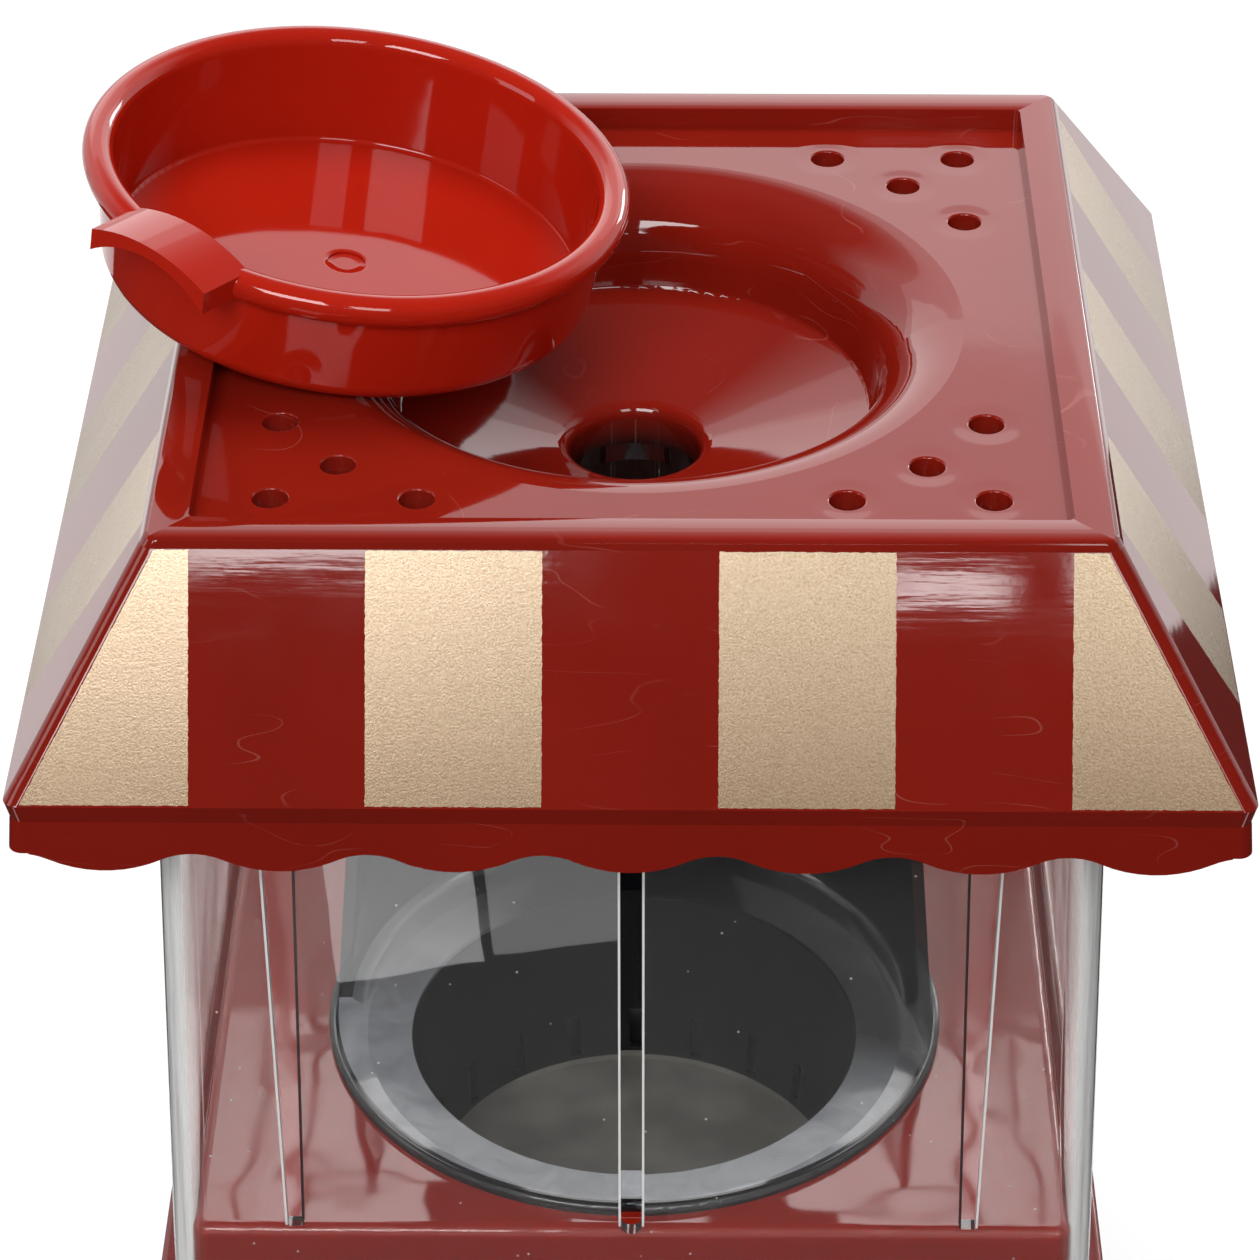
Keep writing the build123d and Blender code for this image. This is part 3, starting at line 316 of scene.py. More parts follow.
# Canopy: the housing's red ABS, with champagne stripes painted on its slopes
relief = {
    "vents": ((48.4, 48.4), (58.8, 58.8), (58.9, 35.0)),  # mm, for one eighth of the deck
    "dishDepth": 0.1,  # mm, sink marks round the vents
    "dishFrom": 3.0,
    "dishTo": 7.0,
    "rimMiddle": 74.15,  # mm from the centre
    "rimHalf": 3.25,
    "rimCrown": 0.3,  # mm, the rim's top is slightly domed
    "eaves": 264.0,
    "waist": 260.6,
    "hem": 251.5,
    "waistDepth": 0.6,  # mm, sharpens the crease along the valance
    "streakHeight": 0.006,  # mm
    "streakScale": (0.04, 0.04, 0.6),  # per mm, long across the slopes and short up them
    "deckTop": 299.0,  # mm, above it lies the rim
}


def canopyRelief(tree, place):
    # dished vents, a domed rim, the crease above the valance, and fine wiping streaks
    axes = addNode(tree, "ShaderNodeSeparateXYZ", {0: place})
    x, y, z = axes.outputs
    absX = addNode(tree, "ShaderNodeMath", {0: x}, operation="ABSOLUTE").outputs[0]
    absY = addNode(tree, "ShaderNodeMath", {0: y}, operation="ABSOLUTE").outputs[0]
    far = addNode(tree, "ShaderNodeMath", {0: absX, 1: absY}, operation="MAXIMUM").outputs[0]
    near = addNode(tree, "ShaderNodeMath", {0: absX, 1: absY}, operation="MINIMUM").outputs[0]
    folded = addNode(tree, "ShaderNodeCombineXYZ", {"X": far, "Y": near}).outputs[0]
    nearest = None
    for centre in relief["vents"]:
        away = addNode(
            tree, "ShaderNodeVectorMath", {0: folded}, {1: (*centre, 0)}, operation="DISTANCE"
        ).outputs["Value"]
        if nearest is None:
            nearest = away
        else:
            nearest = addNode(tree, "ShaderNodeMath", {0: nearest, 1: away}, operation="MINIMUM").outputs[0]
    dish = addNode(
        tree,
        "ShaderNodeMapRange",
        {"Value": nearest},
        {
            "From Min": relief["dishFrom"],
            "From Max": relief["dishTo"],
            "To Min": -relief["dishDepth"],
            "To Max": 0.0,
        },
        interpolation_type="SMOOTHSTEP",
    ).outputs[0]
    across = addNode(
        tree,
        "ShaderNodeMath",
        {0: far},
        {1: 1 / relief["rimHalf"], 2: -relief["rimMiddle"] / relief["rimHalf"]},
        operation="MULTIPLY_ADD",
    ).outputs[0]
    square = addNode(tree, "ShaderNodeMath", {0: across, 1: across}, operation="MULTIPLY").outputs[0]
    crown = addNode(
        tree, "ShaderNodeMath", {0: square}, {1: -relief["rimCrown"]}, operation="MULTIPLY"
    ).outputs[0]
    onRim = addNode(
        tree, "ShaderNodeMath", {0: z}, {1: relief["deckTop"]}, operation="GREATER_THAN"
    ).outputs[0]
    upper = addNode(
        tree,
        "ShaderNodeMapRange",
        {"Value": z},
        {
            "From Min": relief["eaves"],
            "From Max": relief["waist"],
            "To Min": 0.0,
            "To Max": -relief["waistDepth"],
        },
    ).outputs[0]
    lower = addNode(
        tree,
        "ShaderNodeMapRange",
        {"Value": z},
        {
            "From Min": relief["hem"],
            "From Max": relief["waist"],
            "To Min": 0.0,
            "To Max": -relief["waistDepth"],
        },
    ).outputs[0]
    waist = addNode(tree, "ShaderNodeMath", {0: upper, 1: lower}, operation="MAXIMUM").outputs[0]
    top = addNode(
        tree, "ShaderNodeMix", {"Factor": onRim, "A": dish, "B": crown}, data_type="FLOAT"
    ).outputs[0]
    # faint level streaks, as the slopes were wiped from side to side
    wiped = addNode(tree, "ShaderNodeMapping", {"Vector": place}, {"Scale": relief["streakScale"]}).outputs[0]
    streak = addNode(
        tree, "ShaderNodeTexNoise", {"Vector": wiped}, {"Scale": 1.0, "Detail": 3.0}
    ).outputs["Fac"]
    streak = addNode(
        tree, "ShaderNodeMath", {0: streak}, {1: relief["streakHeight"]}, operation="MULTIPLY"
    ).outputs[0]
    shape = addNode(tree, "ShaderNodeMath", {0: top, 1: waist}, operation="ADD").outputs[0]
    return addNode(tree, "ShaderNodeMath", {0: shape, 1: streak}, operation="ADD").outputs[0]


stripes = {
    "width": 28.1,  # mm, each stripe
    "paint": "#C8AF91",
    "paintDark": "#BAA07F",
    "paintLight": "#D2BD9F",
    "scratch": "#C9827A",
    "deckPaintedLight": 1.24,  # painted light: the deck and the pit are coloured a little lighter than the slopes, as they face the light above
    "eavesPaintedShade": (0.56, 0.50, 0.45),  # painted shade: the paint's tone at the eaves, beside the rim's; it darkens towards the bottom
    "flakeSize": 0.36,  # mm, coarser than real flake so that it shows
    "edgeJitter": 0.2,  # mm
    "topMargin": 1.5,
    "lowMargin": 0.3,
    "hipMargin": 2.6,
    "topHalf": 77.4,  # mm, half the width at the top of the slopes
    "slopeHeight": 36.4,  # mm, from the eaves to the top
    "slopeSkin": 0.8,  # mm, how far behind the slope a point still counts as on it
    "flakeSpan": (0.34, 0.48, 0.7),  # levels of the noise for the dark, plain and light flake
    "flakeHeight": 0.02,  # mm
    "metallic": 0.35,  # the paint's metal share
    "matt": 0.22,  # how much rougher than the bare plastic it is
    "hairScale": (0.3, 0.3, 1.2),  # per mm, how the scratches are drawn out
    "hairNoise": 0.11,
    "hairWidth": (0.0015, 0.004),  # how far from a contour a scratch is full, and gone
    "hairPatches": 0.06,  # per mm
    "hairFrom": (0.5, 0.62),  # levels between which scratches appear
    "hairStrength": 0.16,
    "deckEdge": (76.5, 77.0),  # mm from the centre, where the deck's painted light ends
    "tubeSpan": (264.0, 271.5),  # mm, the kernel tube's lower part, dark with painted shade
    "tubeRadius": 12.0,  # mm
    "tubeShadeColour": "#1A0806",
}


def stripedCanopy():
    look = stripes
    material, tree, shader, place, tone, rough, skin = mouldedPlastic(
        "stripedCanopyAbs", "#80190E", 0.035, 0.02, smudge=0.035, relief=canopyRelief
    )
    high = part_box("roof_canopy")[1]
    half = high.x / mm  # half the width at the lower edge of the slopes
    top = high.z / mm
    eaves = top - look["slopeHeight"]
    axes = addNode(tree, "ShaderNodeSeparateXYZ", {0: place})
    x, y, z = axes.outputs
    absX = addNode(tree, "ShaderNodeMath", {0: x}, operation="ABSOLUTE").outputs[0]
    absY = addNode(tree, "ShaderNodeMath", {0: y}, operation="ABSOLUTE").outputs[0]
    isFront = addNode(tree, "ShaderNodeMath", {0: absY, 1: absX}, operation="GREATER_THAN").outputs[0]
    along = addNode(tree, "ShaderNodeMix", {"Factor": isFront, "A": y, "B": x}, data_type="FLOAT").outputs[0]
    jitterNoise = addNode(tree, "ShaderNodeTexNoise", {"Vector": place}, {"Scale": 0.9, "Detail": 3.0})
    jitter = addNode(
        tree,
        "ShaderNodeMapRange",
        {"Value": jitterNoise.outputs["Fac"]},
        {"To Min": -look["edgeJitter"], "To Max": look["edgeJitter"]},
    ).outputs[0]
    moved = addNode(tree, "ShaderNodeMath", {0: along, 1: jitter}, operation="ADD").outputs[0]
    count = addNode(
        tree,
        "ShaderNodeMath",
        {0: moved},
        {1: 1 / look["width"], 2: 0.5},
        operation="MULTIPLY_ADD",
    ).outputs[0]
    whole = addNode(tree, "ShaderNodeMath", {0: count}, operation="FLOOR").outputs[0]
    shifted = addNode(tree, "ShaderNodeMath", {0: whole, 1: isFront}, operation="SUBTRACT").outputs[0]
    odd = addNode(
        tree, "ShaderNodeMath", {0: shifted}, {1: 2.0}, operation="FLOORED_MODULO"
    ).outputs[0]
    painted = addNode(tree, "ShaderNodeMath", {0: odd}, {1: 0.5}, operation="LESS_THAN").outputs[0]
    # keep the paint on the slopes, clear of the hips, the rim and the valance
    levels = addNode(tree, "ShaderNodeMath", {0: z, 1: jitter}, operation="ADD").outputs[0]
    above = addNode(
        tree, "ShaderNodeMath", {0: levels}, {1: eaves + look["lowMargin"]}, operation="GREATER_THAN"
    ).outputs[0]
    below = addNode(
        tree, "ShaderNodeMath", {0: levels}, {1: top - look["topMargin"]}, operation="LESS_THAN"
    ).outputs[0]
    hip = addNode(tree, "ShaderNodeMath", {0: absX, 1: absY}, operation="SUBTRACT").outputs[0]
    hip = addNode(tree, "ShaderNodeMath", {0: hip}, operation="ABSOLUTE").outputs[0]
    hip = addNode(tree, "ShaderNodeMath", {0: hip, 1: jitter}, operation="ADD").outputs[0]
    clear = addNode(
        tree, "ShaderNodeMath", {0: hip}, {1: look["hipMargin"]}, operation="GREATER_THAN"
    ).outputs[0]
    reach = addNode(tree, "ShaderNodeMath", {0: absX, 1: absY}, operation="MAXIMUM").outputs[0]
    slopeHalf = addNode(
        tree,
        "ShaderNodeMapRange",
        {"Value": z},
        {
            "From Min": eaves,
            "From Max": top,
            "To Min": half - look["slopeSkin"],
            "To Max": look["topHalf"] - look["slopeSkin"],
        },
        clamp=False,
    ).outputs[0]
    outside = addNode(tree, "ShaderNodeMath", {0: reach, 1: slopeHalf}, operation="GREATER_THAN").outputs[0]
    mask = painted
    for condition in (above, below, clear, outside):
        mask = addNode(tree, "ShaderNodeMath", {0: mask, 1: condition}, operation="MULTIPLY").outputs[0]
    flake = addNode(
        tree,
        "ShaderNodeTexNoise",
        {"Vector": place},
        {"Scale": 1 / look["flakeSize"], "Detail": 1.5, "Roughness": 0.6},
    )
    flakeRamp = addNode(tree, "ShaderNodeValToRGB", {0: flake.outputs["Fac"]})
    darkest, plain, lightest = look["flakeSpan"]
    flakeRamp.color_ramp.elements[0].position = darkest
    flakeRamp.color_ramp.elements[0].color = linear(look["paintDark"])
    flakeRamp.color_ramp.elements[1].position = lightest
    flakeRamp.color_ramp.elements[1].color = linear(look["paintLight"])
    flakeRamp.color_ramp.elements.new(plain).color = linear(look["paint"])
    # painted shade: the paint is darkened from the rim down towards the eaves
    height = addNode(
        tree, "ShaderNodeMapRange", {"Value": z}, {"From Min": eaves, "From Max": top}
    ).outputs[0]
    eavesPaintedShade = look["eavesPaintedShade"]
    tint = addNode(
        tree,
        "ShaderNodeVectorMath",
        {0: height},
        {1: tuple(1 - c for c in eavesPaintedShade), 2: eavesPaintedShade},
        operation="MULTIPLY_ADD",
    ).outputs[0]
    gold = addNode(
        tree, "ShaderNodeVectorMath", {0: flakeRamp.outputs["Color"], 1: tint}, operation="MULTIPLY"
    ).outputs[0]
    # hairline scratches: thin contour lines of a slow noise, kept to a few places
    stretched = addNode(tree, "ShaderNodeMapping", {"Vector": place}, {"Scale": look["hairScale"]})
    contour = addNode(
        tree,
        "ShaderNodeTexNoise",
        {"Vector": stretched.outputs[0]},
        {"Scale": look["hairNoise"], "Detail": 1.0},
    ).outputs["Fac"]
    hair = addNode(tree, "ShaderNodeMath", {0: contour}, {1: 0.5}, operation="SUBTRACT").outputs[0]
    hair = addNode(tree, "ShaderNodeMath", {0: hair}, operation="ABSOLUTE").outputs[0]
    hair = addNode(
        tree,
        "ShaderNodeMapRange",
        {"Value": hair},
        {"From Min": look["hairWidth"][0], "From Max": look["hairWidth"][1], "To Min": 1.0, "To Max": 0.0},
    ).outputs[0]
    where = addNode(
        tree, "ShaderNodeTexNoise", {"Vector": place}, {"Scale": look["hairPatches"], "Detail": 4.0}
    ).outputs["Fac"]
    where = addNode(
        tree,
        "ShaderNodeMapRange",
        {"Value": where},
        {"From Min": look["hairFrom"][0], "From Max": look["hairFrom"][1], "To Max": look["hairStrength"]},
    ).outputs[0]
    hair = addNode(tree, "ShaderNodeMath", {0: hair, 1: where}, operation="MULTIPLY").outputs[0]
    scuffed = addNode(
        tree,
        "ShaderNodeMix",
        {0: hair, 6: tone.outputs["Color"]},
        {7: linear(look["scratch"])},
        data_type="RGBA",
    ).outputs[2]
    # painted light: the deck and the pit are coloured lighter than the slopes
    deckLightScale = addNode(
        tree,
        "ShaderNodeMapRange",
        {"Value": reach},
        {
            "From Min": look["deckEdge"][0],
            "From Max": look["deckEdge"][1],
            "To Min": look["deckPaintedLight"],
            "To Max": 1.0,
        },
    ).outputs[0]
    scuffed = addNode(
        tree, "ShaderNodeVectorMath", {0: scuffed, "Scale": deckLightScale}, operation="SCALE"
    ).outputs[0]
    colour = addNode(
        tree, "ShaderNodeMix", {0: mask, 6: scuffed, 7: gold}, data_type="RGBA"
    ).outputs[2]
    # painted shade: the kernel tube is dark brown inside
    inTube = addNode(
        tree,
        "ShaderNodeMapRange",
        {"Value": z},
        {"From Min": look["tubeSpan"][0], "From Max": look["tubeSpan"][1], "To Min": 1.0, "To Max": 0.0},
    ).outputs[0]
    within = addNode(
        tree, "ShaderNodeMath", {0: reach}, {1: look["tubeRadius"]}, operation="LESS_THAN"
    ).outputs[0]
    tubeShade = addNode(tree, "ShaderNodeMath", {0: inTube, 1: within}, operation="MULTIPLY").outputs[0]
    colour = addNode(
        tree, "ShaderNodeMix", {0: tubeShade, 6: colour}, {7: linear(look["tubeShadeColour"])}, data_type="RGBA"
    ).outputs[2]
    tree.links.new(colour, shader.inputs["Base Color"])
    metal = addNode(tree, "ShaderNodeMath", {0: mask}, {1: look["metallic"]}, operation="MULTIPLY")
    tree.links.new(metal.outputs[0], shader.inputs["Metallic"])
    matt = addNode(tree, "ShaderNodeMath", {0: mask}, {1: look["matt"]}, operation="MULTIPLY")
    roughSum = addNode(
        tree, "ShaderNodeMath", {0: rough.outputs["Result"], 1: matt.outputs[0]}, operation="ADD"
    )
    tree.links.new(roughSum.outputs[0], shader.inputs["Roughness"])
    grain = addNode(tree, "ShaderNodeMath", {0: flake.outputs["Fac"], 1: mask}, operation="MULTIPLY")
    coatBump = addNode(
        tree,
        "ShaderNodeBump",
        {"Height": grain.outputs[0], "Normal": skin.outputs["Normal"]},
        {"Strength": 1.0, "Distance": look["flakeHeight"] * mm},
    )
    tree.links.new(coatBump.outputs["Normal"], shader.inputs["Normal"])
    return material


# bare red ABS mirrors sharply, and the paint on it is softer, grainy and a little metallic
canopyAbs = stripedCanopy()

# Clear case: polystyrene, glass clear, with bright cut edges and a painted pale sheen in its corners
clearCase = {
    "ior": 1.59,
    "roughness": 0.015,
    "tint": "#F4F4F3",
    "inwardPaintedReflection": "#4A3A3A",  # painted reflection: the side slots' inner faces are coloured as the dark inside that they mirror
    "film": 0.985,  # what the handling film leaves of the clearness
    "corner": 0.15,  # how clear the corners stay under their painted pale sheen, which is streaky
    "cornerSize": 4.6,  # mm
    "footHalf": 81.5,  # mm, half the width at the foot and at the head
    "headHalf": 77.85,
    "slotHalf": 1.85,  # mm
    "slotLow": 159.85,
    "slotHigh": 260.0,
    "sideSlot": 59.0,
    "frost": 0.4,  # mm, pale cut edge round each slot
    "frostPale": 0.7,  # how far that edge loses its clearness
    "foot": 140.0,  # mm, the case's lower and upper edges
    "head": 284.0,
    "cornerFade": 1.2,  # mm
    "streakScale": (1.0, 1.0, 0.02),  # upright streaks in the corners' painted sheen
    "streakNoise": 0.9,
    "streakSpan": (0.3, 0.7),
    "streakLow": 0.6,
    "sideLow": 159.5,  # mm, the side slots' ends, and half their widths there
    "sideHigh": 262.0,
    "sideHalfLow": 1.25,
    "sideHalfHigh": 2.95,
    "slotFoot": 159.7,  # mm, no edge is frosted below this
    "frontWall": -70.0,  # mm, only the wall ahead of this has slots
    "dustScale": 0.16,  # per mm
    "dustSize": 0.035,  # of the distance between specks
    "dustPale": 0.5,
    "paleRoughness": 0.3,
    "waveScale": 1 / 30.0,
    "waveHeight": 0.06,  # mm
    "shadow": (0.9, 0.9, 0.9, 1.0),  # the light that passes it on the way to other pieces
}


def clearStyrene():
    look = clearCase
    material, tree, shader, place = startMaterial("clearPolystyrene", {"IOR": look["ior"]})
    axes = addNode(tree, "ShaderNodeSeparateXYZ", {0: place})
    x, y, z = axes.outputs
    absX = addNode(tree, "ShaderNodeMath", {0: x}, operation="ABSOLUTE").outputs[0]
    absY = addNode(tree, "ShaderNodeMath", {0: y}, operation="ABSOLUTE").outputs[0]
    # upright corners, painted pale as a sheen
    wall = addNode(
        tree,
        "ShaderNodeMapRange",
        {"Value": z},
        {
            "From Min": look["foot"],
            "From Max": look["head"],
            "To Min": look["footHalf"],
            "To Max": look["headHalf"],
        },
    ).outputs[0]
    inner = addNode(tree, "ShaderNodeMath", {0: absX, 1: absY}, operation="MINIMUM").outputs[0]
    inner = addNode(tree, "ShaderNodeMath", {0: inner, 1: wall}, operation="SUBTRACT").outputs[0]
    corner = addNode(
        tree,
        "ShaderNodeMapRange",
        {"Value": inner},
        {"From Min": -look["cornerSize"], "From Max": look["cornerFade"] - look["cornerSize"]},
        interpolation_type="SMOOTHSTEP",
    ).outputs[0]
    streakPlace = addNode(tree, "ShaderNodeMapping", {"Vector": place}, {"Scale": look["streakScale"]})
    streaks = addNode(
        tree,
        "ShaderNodeTexNoise",
        {"Vector": streakPlace.outputs[0]},
        {"Scale": look["streakNoise"], "Detail": 3.0},
    ).outputs["Fac"]
    streaks = addNode(
        tree,
        "ShaderNodeMapRange",
        {"Value": streaks},
        {
            "From Min": look["streakSpan"][0],
            "From Max": look["streakSpan"][1],
            "To Min": look["streakLow"],
            "To Max": 1.0,
        },
    ).outputs[0]
    corner = addNode(tree, "ShaderNodeMath", {0: corner, 1: streaks}, operation="MULTIPLY").outputs[0]
    # centre slot: within slotHalf of an upright line
    level = addNode(
        tree, "ShaderNodeClamp", {"Value": z}, {"Min": look["slotLow"], "Max": look["slotHigh"]}
    ).outputs[0]
    drop = addNode(tree, "ShaderNodeMath", {0: z, 1: level}, operation="SUBTRACT").outputs[0]
    flat = addNode(tree, "ShaderNodeCombineXYZ", {"X": absX, "Y": drop}).outputs[0]
    away = addNode(tree, "ShaderNodeVectorMath", {0: flat}, operation="LENGTH").outputs["Value"]
    middle = addNode(
        tree, "ShaderNodeMath", {0: away}, {1: look["slotHalf"] + look["frost"]}, operation="LESS_THAN"
    ).outputs[0]
    # side slots widen upwards
    half = addNode(
        tree,
        "ShaderNodeMapRange",
        {"Value": z},
        {
            "From Min": look["sideLow"],
            "From Max": look["sideHigh"],
            "To Min": look["sideHalfLow"] + look["frost"],
            "To Max": look["sideHalfHigh"] + look["frost"],
        },
    ).outputs[0]
    signed = addNode(
        tree, "ShaderNodeMath", {0: absX}, {1: look["sideSlot"]}, operation="SUBTRACT"
    ).outputs[0]
    offset = addNode(tree, "ShaderNodeMath", {0: signed}, operation="ABSOLUTE").outputs[0]
    beside = addNode(tree, "ShaderNodeMath", {0: offset, 1: half}, operation="LESS_THAN").outputs[0]
    above = addNode(
        tree, "ShaderNodeMath", {0: z}, {1: look["slotFoot"]}, operation="GREATER_THAN"
    ).outputs[0]
    beside = addNode(tree, "ShaderNodeMath", {0: beside, 1: above}, operation="MULTIPLY").outputs[0]
    front = addNode(tree, "ShaderNodeMath", {0: y}, {1: look["frontWall"]}, operation="LESS_THAN").outputs[0]
    middle = addNode(tree, "ShaderNodeMath", {0: middle, 1: above}, operation="MULTIPLY").outputs[0]
    edges = addNode(tree, "ShaderNodeMath", {0: middle, 1: beside}, operation="MAXIMUM").outputs[0]
    edges = addNode(tree, "ShaderNodeMath", {0: edges, 1: front}, operation="MULTIPLY").outputs[0]
    edges = addNode(
        tree, "ShaderNodeMath", {0: edges}, {1: look["frostPale"]}, operation="MULTIPLY"
    ).outputs[0]
    # painted reflection: the inward faces of the side slots take a dark colour
    inward = addNode(tree, "ShaderNodeMath", {0: signed}, {1: 0.0}, operation="LESS_THAN").outputs[0]
    shade = addNode(tree, "ShaderNodeMath", {0: inward, 1: beside}, operation="MULTIPLY").outputs[0]
    shade = addNode(tree, "ShaderNodeMath", {0: shade, 1: front}, operation="MULTIPLY").outputs[0]
    # dust: tiny pale specks
    cells = addNode(tree, "ShaderNodeTexVoronoi", {"Vector": place}, {"Scale": look["dustScale"]})
    specks = addNode(
        tree, "ShaderNodeMath", {0: cells.outputs["Distance"]}, {1: look["dustSize"]}, operation="LESS_THAN"
    )
    dust = addNode(
        tree, "ShaderNodeMath", {0: specks.outputs[0]}, {1: look["dustPale"]}, operation="MULTIPLY"
    ).outputs[0]
    pale = addNode(
        tree, "ShaderNodeMath", {0: corner}, {1: 1 - look["corner"]}, operation="MULTIPLY"
    ).outputs[0]
    pale = addNode(tree, "ShaderNodeMath", {0: pale, 1: edges}, operation="MAXIMUM").outputs[0]
    pale = addNode(tree, "ShaderNodeMath", {0: pale, 1: dust}, operation="MAXIMUM").outputs[0]
    clear = addNode(
        tree, "ShaderNodeMapRange", {"Value": pale}, {"To Min": look["film"], "To Max": 0.0}
    ).outputs[0]
    rough = addNode(
        tree,
        "ShaderNodeMapRange",
        {"Value": pale},
        {"To Min": look["roughness"], "To Max": look["paleRoughness"]},
    ).outputs[0]
    tint = addNode(
        tree,
        "ShaderNodeMix",
        {0: shade},
        {6: linear(look["tint"]), 7: linear(look["inwardPaintedReflection"])},
        data_type="RGBA",
    ).outputs[2]
    tree.links.new(tint, shader.inputs["Base Color"])
    tree.links.new(clear, shader.inputs["Transmission Weight"])
    tree.links.new(rough, shader.inputs["Roughness"])
    ripple = addNode(
        tree, "ShaderNodeTexNoise", {"Vector": place}, {"Scale": look["waveScale"], "Detail": 1.0}
    )
    waves = addNode(
        tree,
        "ShaderNodeBump",
        {"Height": ripple.outputs["Fac"]},
        {"Strength": 1.0, "Distance": look["waveHeight"] * mm},
    )
    tree.links.new(waves.outputs["Normal"], shader.inputs["Normal"])
    path = addNode(tree, "ShaderNodeLightPath")
    through = addNode(tree, "ShaderNodeBsdfTransparent", values={"Color": look["shadow"]})
    out = tree.nodes["Material Output"]
    mixed = addNode(
        tree,
        "ShaderNodeMixShader",
        {0: path.outputs["Is Shadow Ray"], 1: shader.outputs[0], 2: through.outputs[0]},
    )
    tree.links.new(mixed.outputs[0], out.inputs["Surface"])
    return material


clearPolystyrene = clearStyrene()


plainLook = {
    "span": (0.35, 0.65),  # levels of the noise between which the colour changes
    "dark": 0.85,  # the darkest places, beside the written colour
    "roughSpread": 0.2,  # share by which the gloss varies
}


def plainFinish(name, colour, roughness, grain=0.6, metallic=1.0):
    # one colour with a mottled tone and gloss, whose grain is in mm
    look = plainLook
    material, tree, shader, place = startMaterial(name, {"Metallic": metallic})
    noise = addNode(tree, "ShaderNodeTexNoise", {"Vector": place}, {"Scale": 1 / grain, "Detail": 4.0})
    ramp = addNode(tree, "ShaderNodeValToRGB", {0: noise.outputs["Fac"]})
    darker = tuple(c * look["dark"] for c in linear(colour)[:3]) + (1.0,)
    for stop, level, shade in zip(ramp.color_ramp.elements, look["span"], (darker, linear(colour))):
        stop.position = level
        stop.color = shade
    rough = addNode(
        tree,
        "ShaderNodeMapRange",
        {"Value": noise.outputs["Fac"]},
        {"To Min": roughness * (1 - look["roughSpread"]), "To Max": roughness * (1 + look["roughSpread"])},
    )
    tree.links.new(ramp.outputs["Color"], shader.inputs["Base Color"])
    tree.links.new(rough.outputs["Result"], shader.inputs["Roughness"])
    return material


# Screws, motor shaft and thermal fuse: bright zinc on steel, cold and shiny with a fine grain
zincSteel = plainFinish("zincSteel", "#B9BCC0", 0.3)
# Duct and motor can: galvanised sheet, duller, with broad clouds
galvanisedSteel = plainFinish("galvanisedSteel", "#A9ADB0", 0.4, 6.0)
# Heater wire: nichrome, dull brown grey from its oxide
nichrome = plainFinish("oxidisedNichrome", "#7C7670", 0.45)
# Fan nut and clamp screws: turned brass, warm and smooth
brass = plainFinish("turnedBrass", "#C9A25A", 0.25)
# Feet: rubber, nearly black and without shine
rubber = plainFinish("mattRubber", "#1B1B1B", 0.75, 0.8, 0.0)
# Heater frame: mica sheet, brownish with pale layers
mica = plainFinish("micaSheet", "#A79B82", 0.5, 3.0, 0.0)
# Fan and terminal block: nylon, warm white and satin
nylonWhite = plainFinish("nylonWhite", "#D8D5CA", 0.4, 2.0, 0.0)
boardLook = {
    "mask": "#1F5A32",
    "diode": "#17181A",
    "band": "#C9CACB",
    "underside": 19.95,  # mm, the diodes hang below it
    "bandFrom": -21.6,  # mm along Y
    "bandTo": -20.9,
    "roughness": 0.35,
    "trackScale": 0.35,  # per mm
    "trackTone": (0.8, 1.3),  # how dark and light the mask is over the tracks
}


def boardFinish():
    # green solder mask, and black diodes with a pale band under it
    look = boardLook
    material, tree, shader, place = startMaterial("solderMask", {"Roughness": look["roughness"]})
    axes = addNode(tree, "ShaderNodeSeparateXYZ", {0: place})
    x, y, z = axes.outputs
    tracks = addNode(
        tree, "ShaderNodeTexVoronoi", {"Vector": place}, {"Scale": look["trackScale"]}, distance="MANHATTAN"
    )
    tone = addNode(
        tree,
        "ShaderNodeMapRange",
        {"Value": tracks.outputs["Distance"]},
        {"To Min": look["trackTone"][0], "To Max": look["trackTone"][1]},
    )
    green = addNode(
        tree,
        "ShaderNodeVectorMath",
        {"Scale": tone.outputs[0]},
        {0: linear(look["mask"])[:3]},
        operation="SCALE",
    ).outputs[0]
    ahead = addNode(
        tree, "ShaderNodeMath", {0: y}, {1: look["bandFrom"]}, operation="GREATER_THAN"
    ).outputs[0]
    behind = addNode(tree, "ShaderNodeMath", {0: y}, {1: look["bandTo"]}, operation="LESS_THAN").outputs[0]
    band = addNode(tree, "ShaderNodeMath", {0: ahead, 1: behind}, operation="MULTIPLY").outputs[0]
    low = addNode(tree, "ShaderNodeMath", {0: z}, {1: look["underside"]}, operation="LESS_THAN").outputs[0]
    diode = addNode(
        tree,
        "ShaderNodeMix",
        {0: band},
        {6: linear(look["diode"]), 7: linear(look["band"])},
        data_type="RGBA",
    ).outputs[2]
    colour = addNode(tree, "ShaderNodeMix", {0: low, 6: green, 7: diode}, data_type="RGBA").outputs[2]
    tree.links.new(colour, shader.inputs["Base Color"])
    return material


# Rectifier board: solder mask, a satin green with darker tracks under it
boardGreen = boardFinish()
# Gasket: silicone rubber, pale grey and soft looking
silicone = plainFinish("greySilicone", "#8E8E8A", 0.5, 1.5, 0.0)


chamberLook = {
    "metallic": 0.3,
    "roughness": 0.55,
    "wall": "#0B0C0D",
    "speck": "#3A3A38",
    "speckSpan": (0.62, 0.72),  # levels of the grain between which specks appear
    "floorDark": "#6A6862",
    "floorPale": "#8A8781",
    "floorSpan": (0.35, 0.65),
    "floorTop": 120.6,  # mm, what lies below it is the floor
    "grainScale": 1.4,  # per mm
    "cloudScale": 0.06,
    "grainHeight": 0.05,  # mm
}


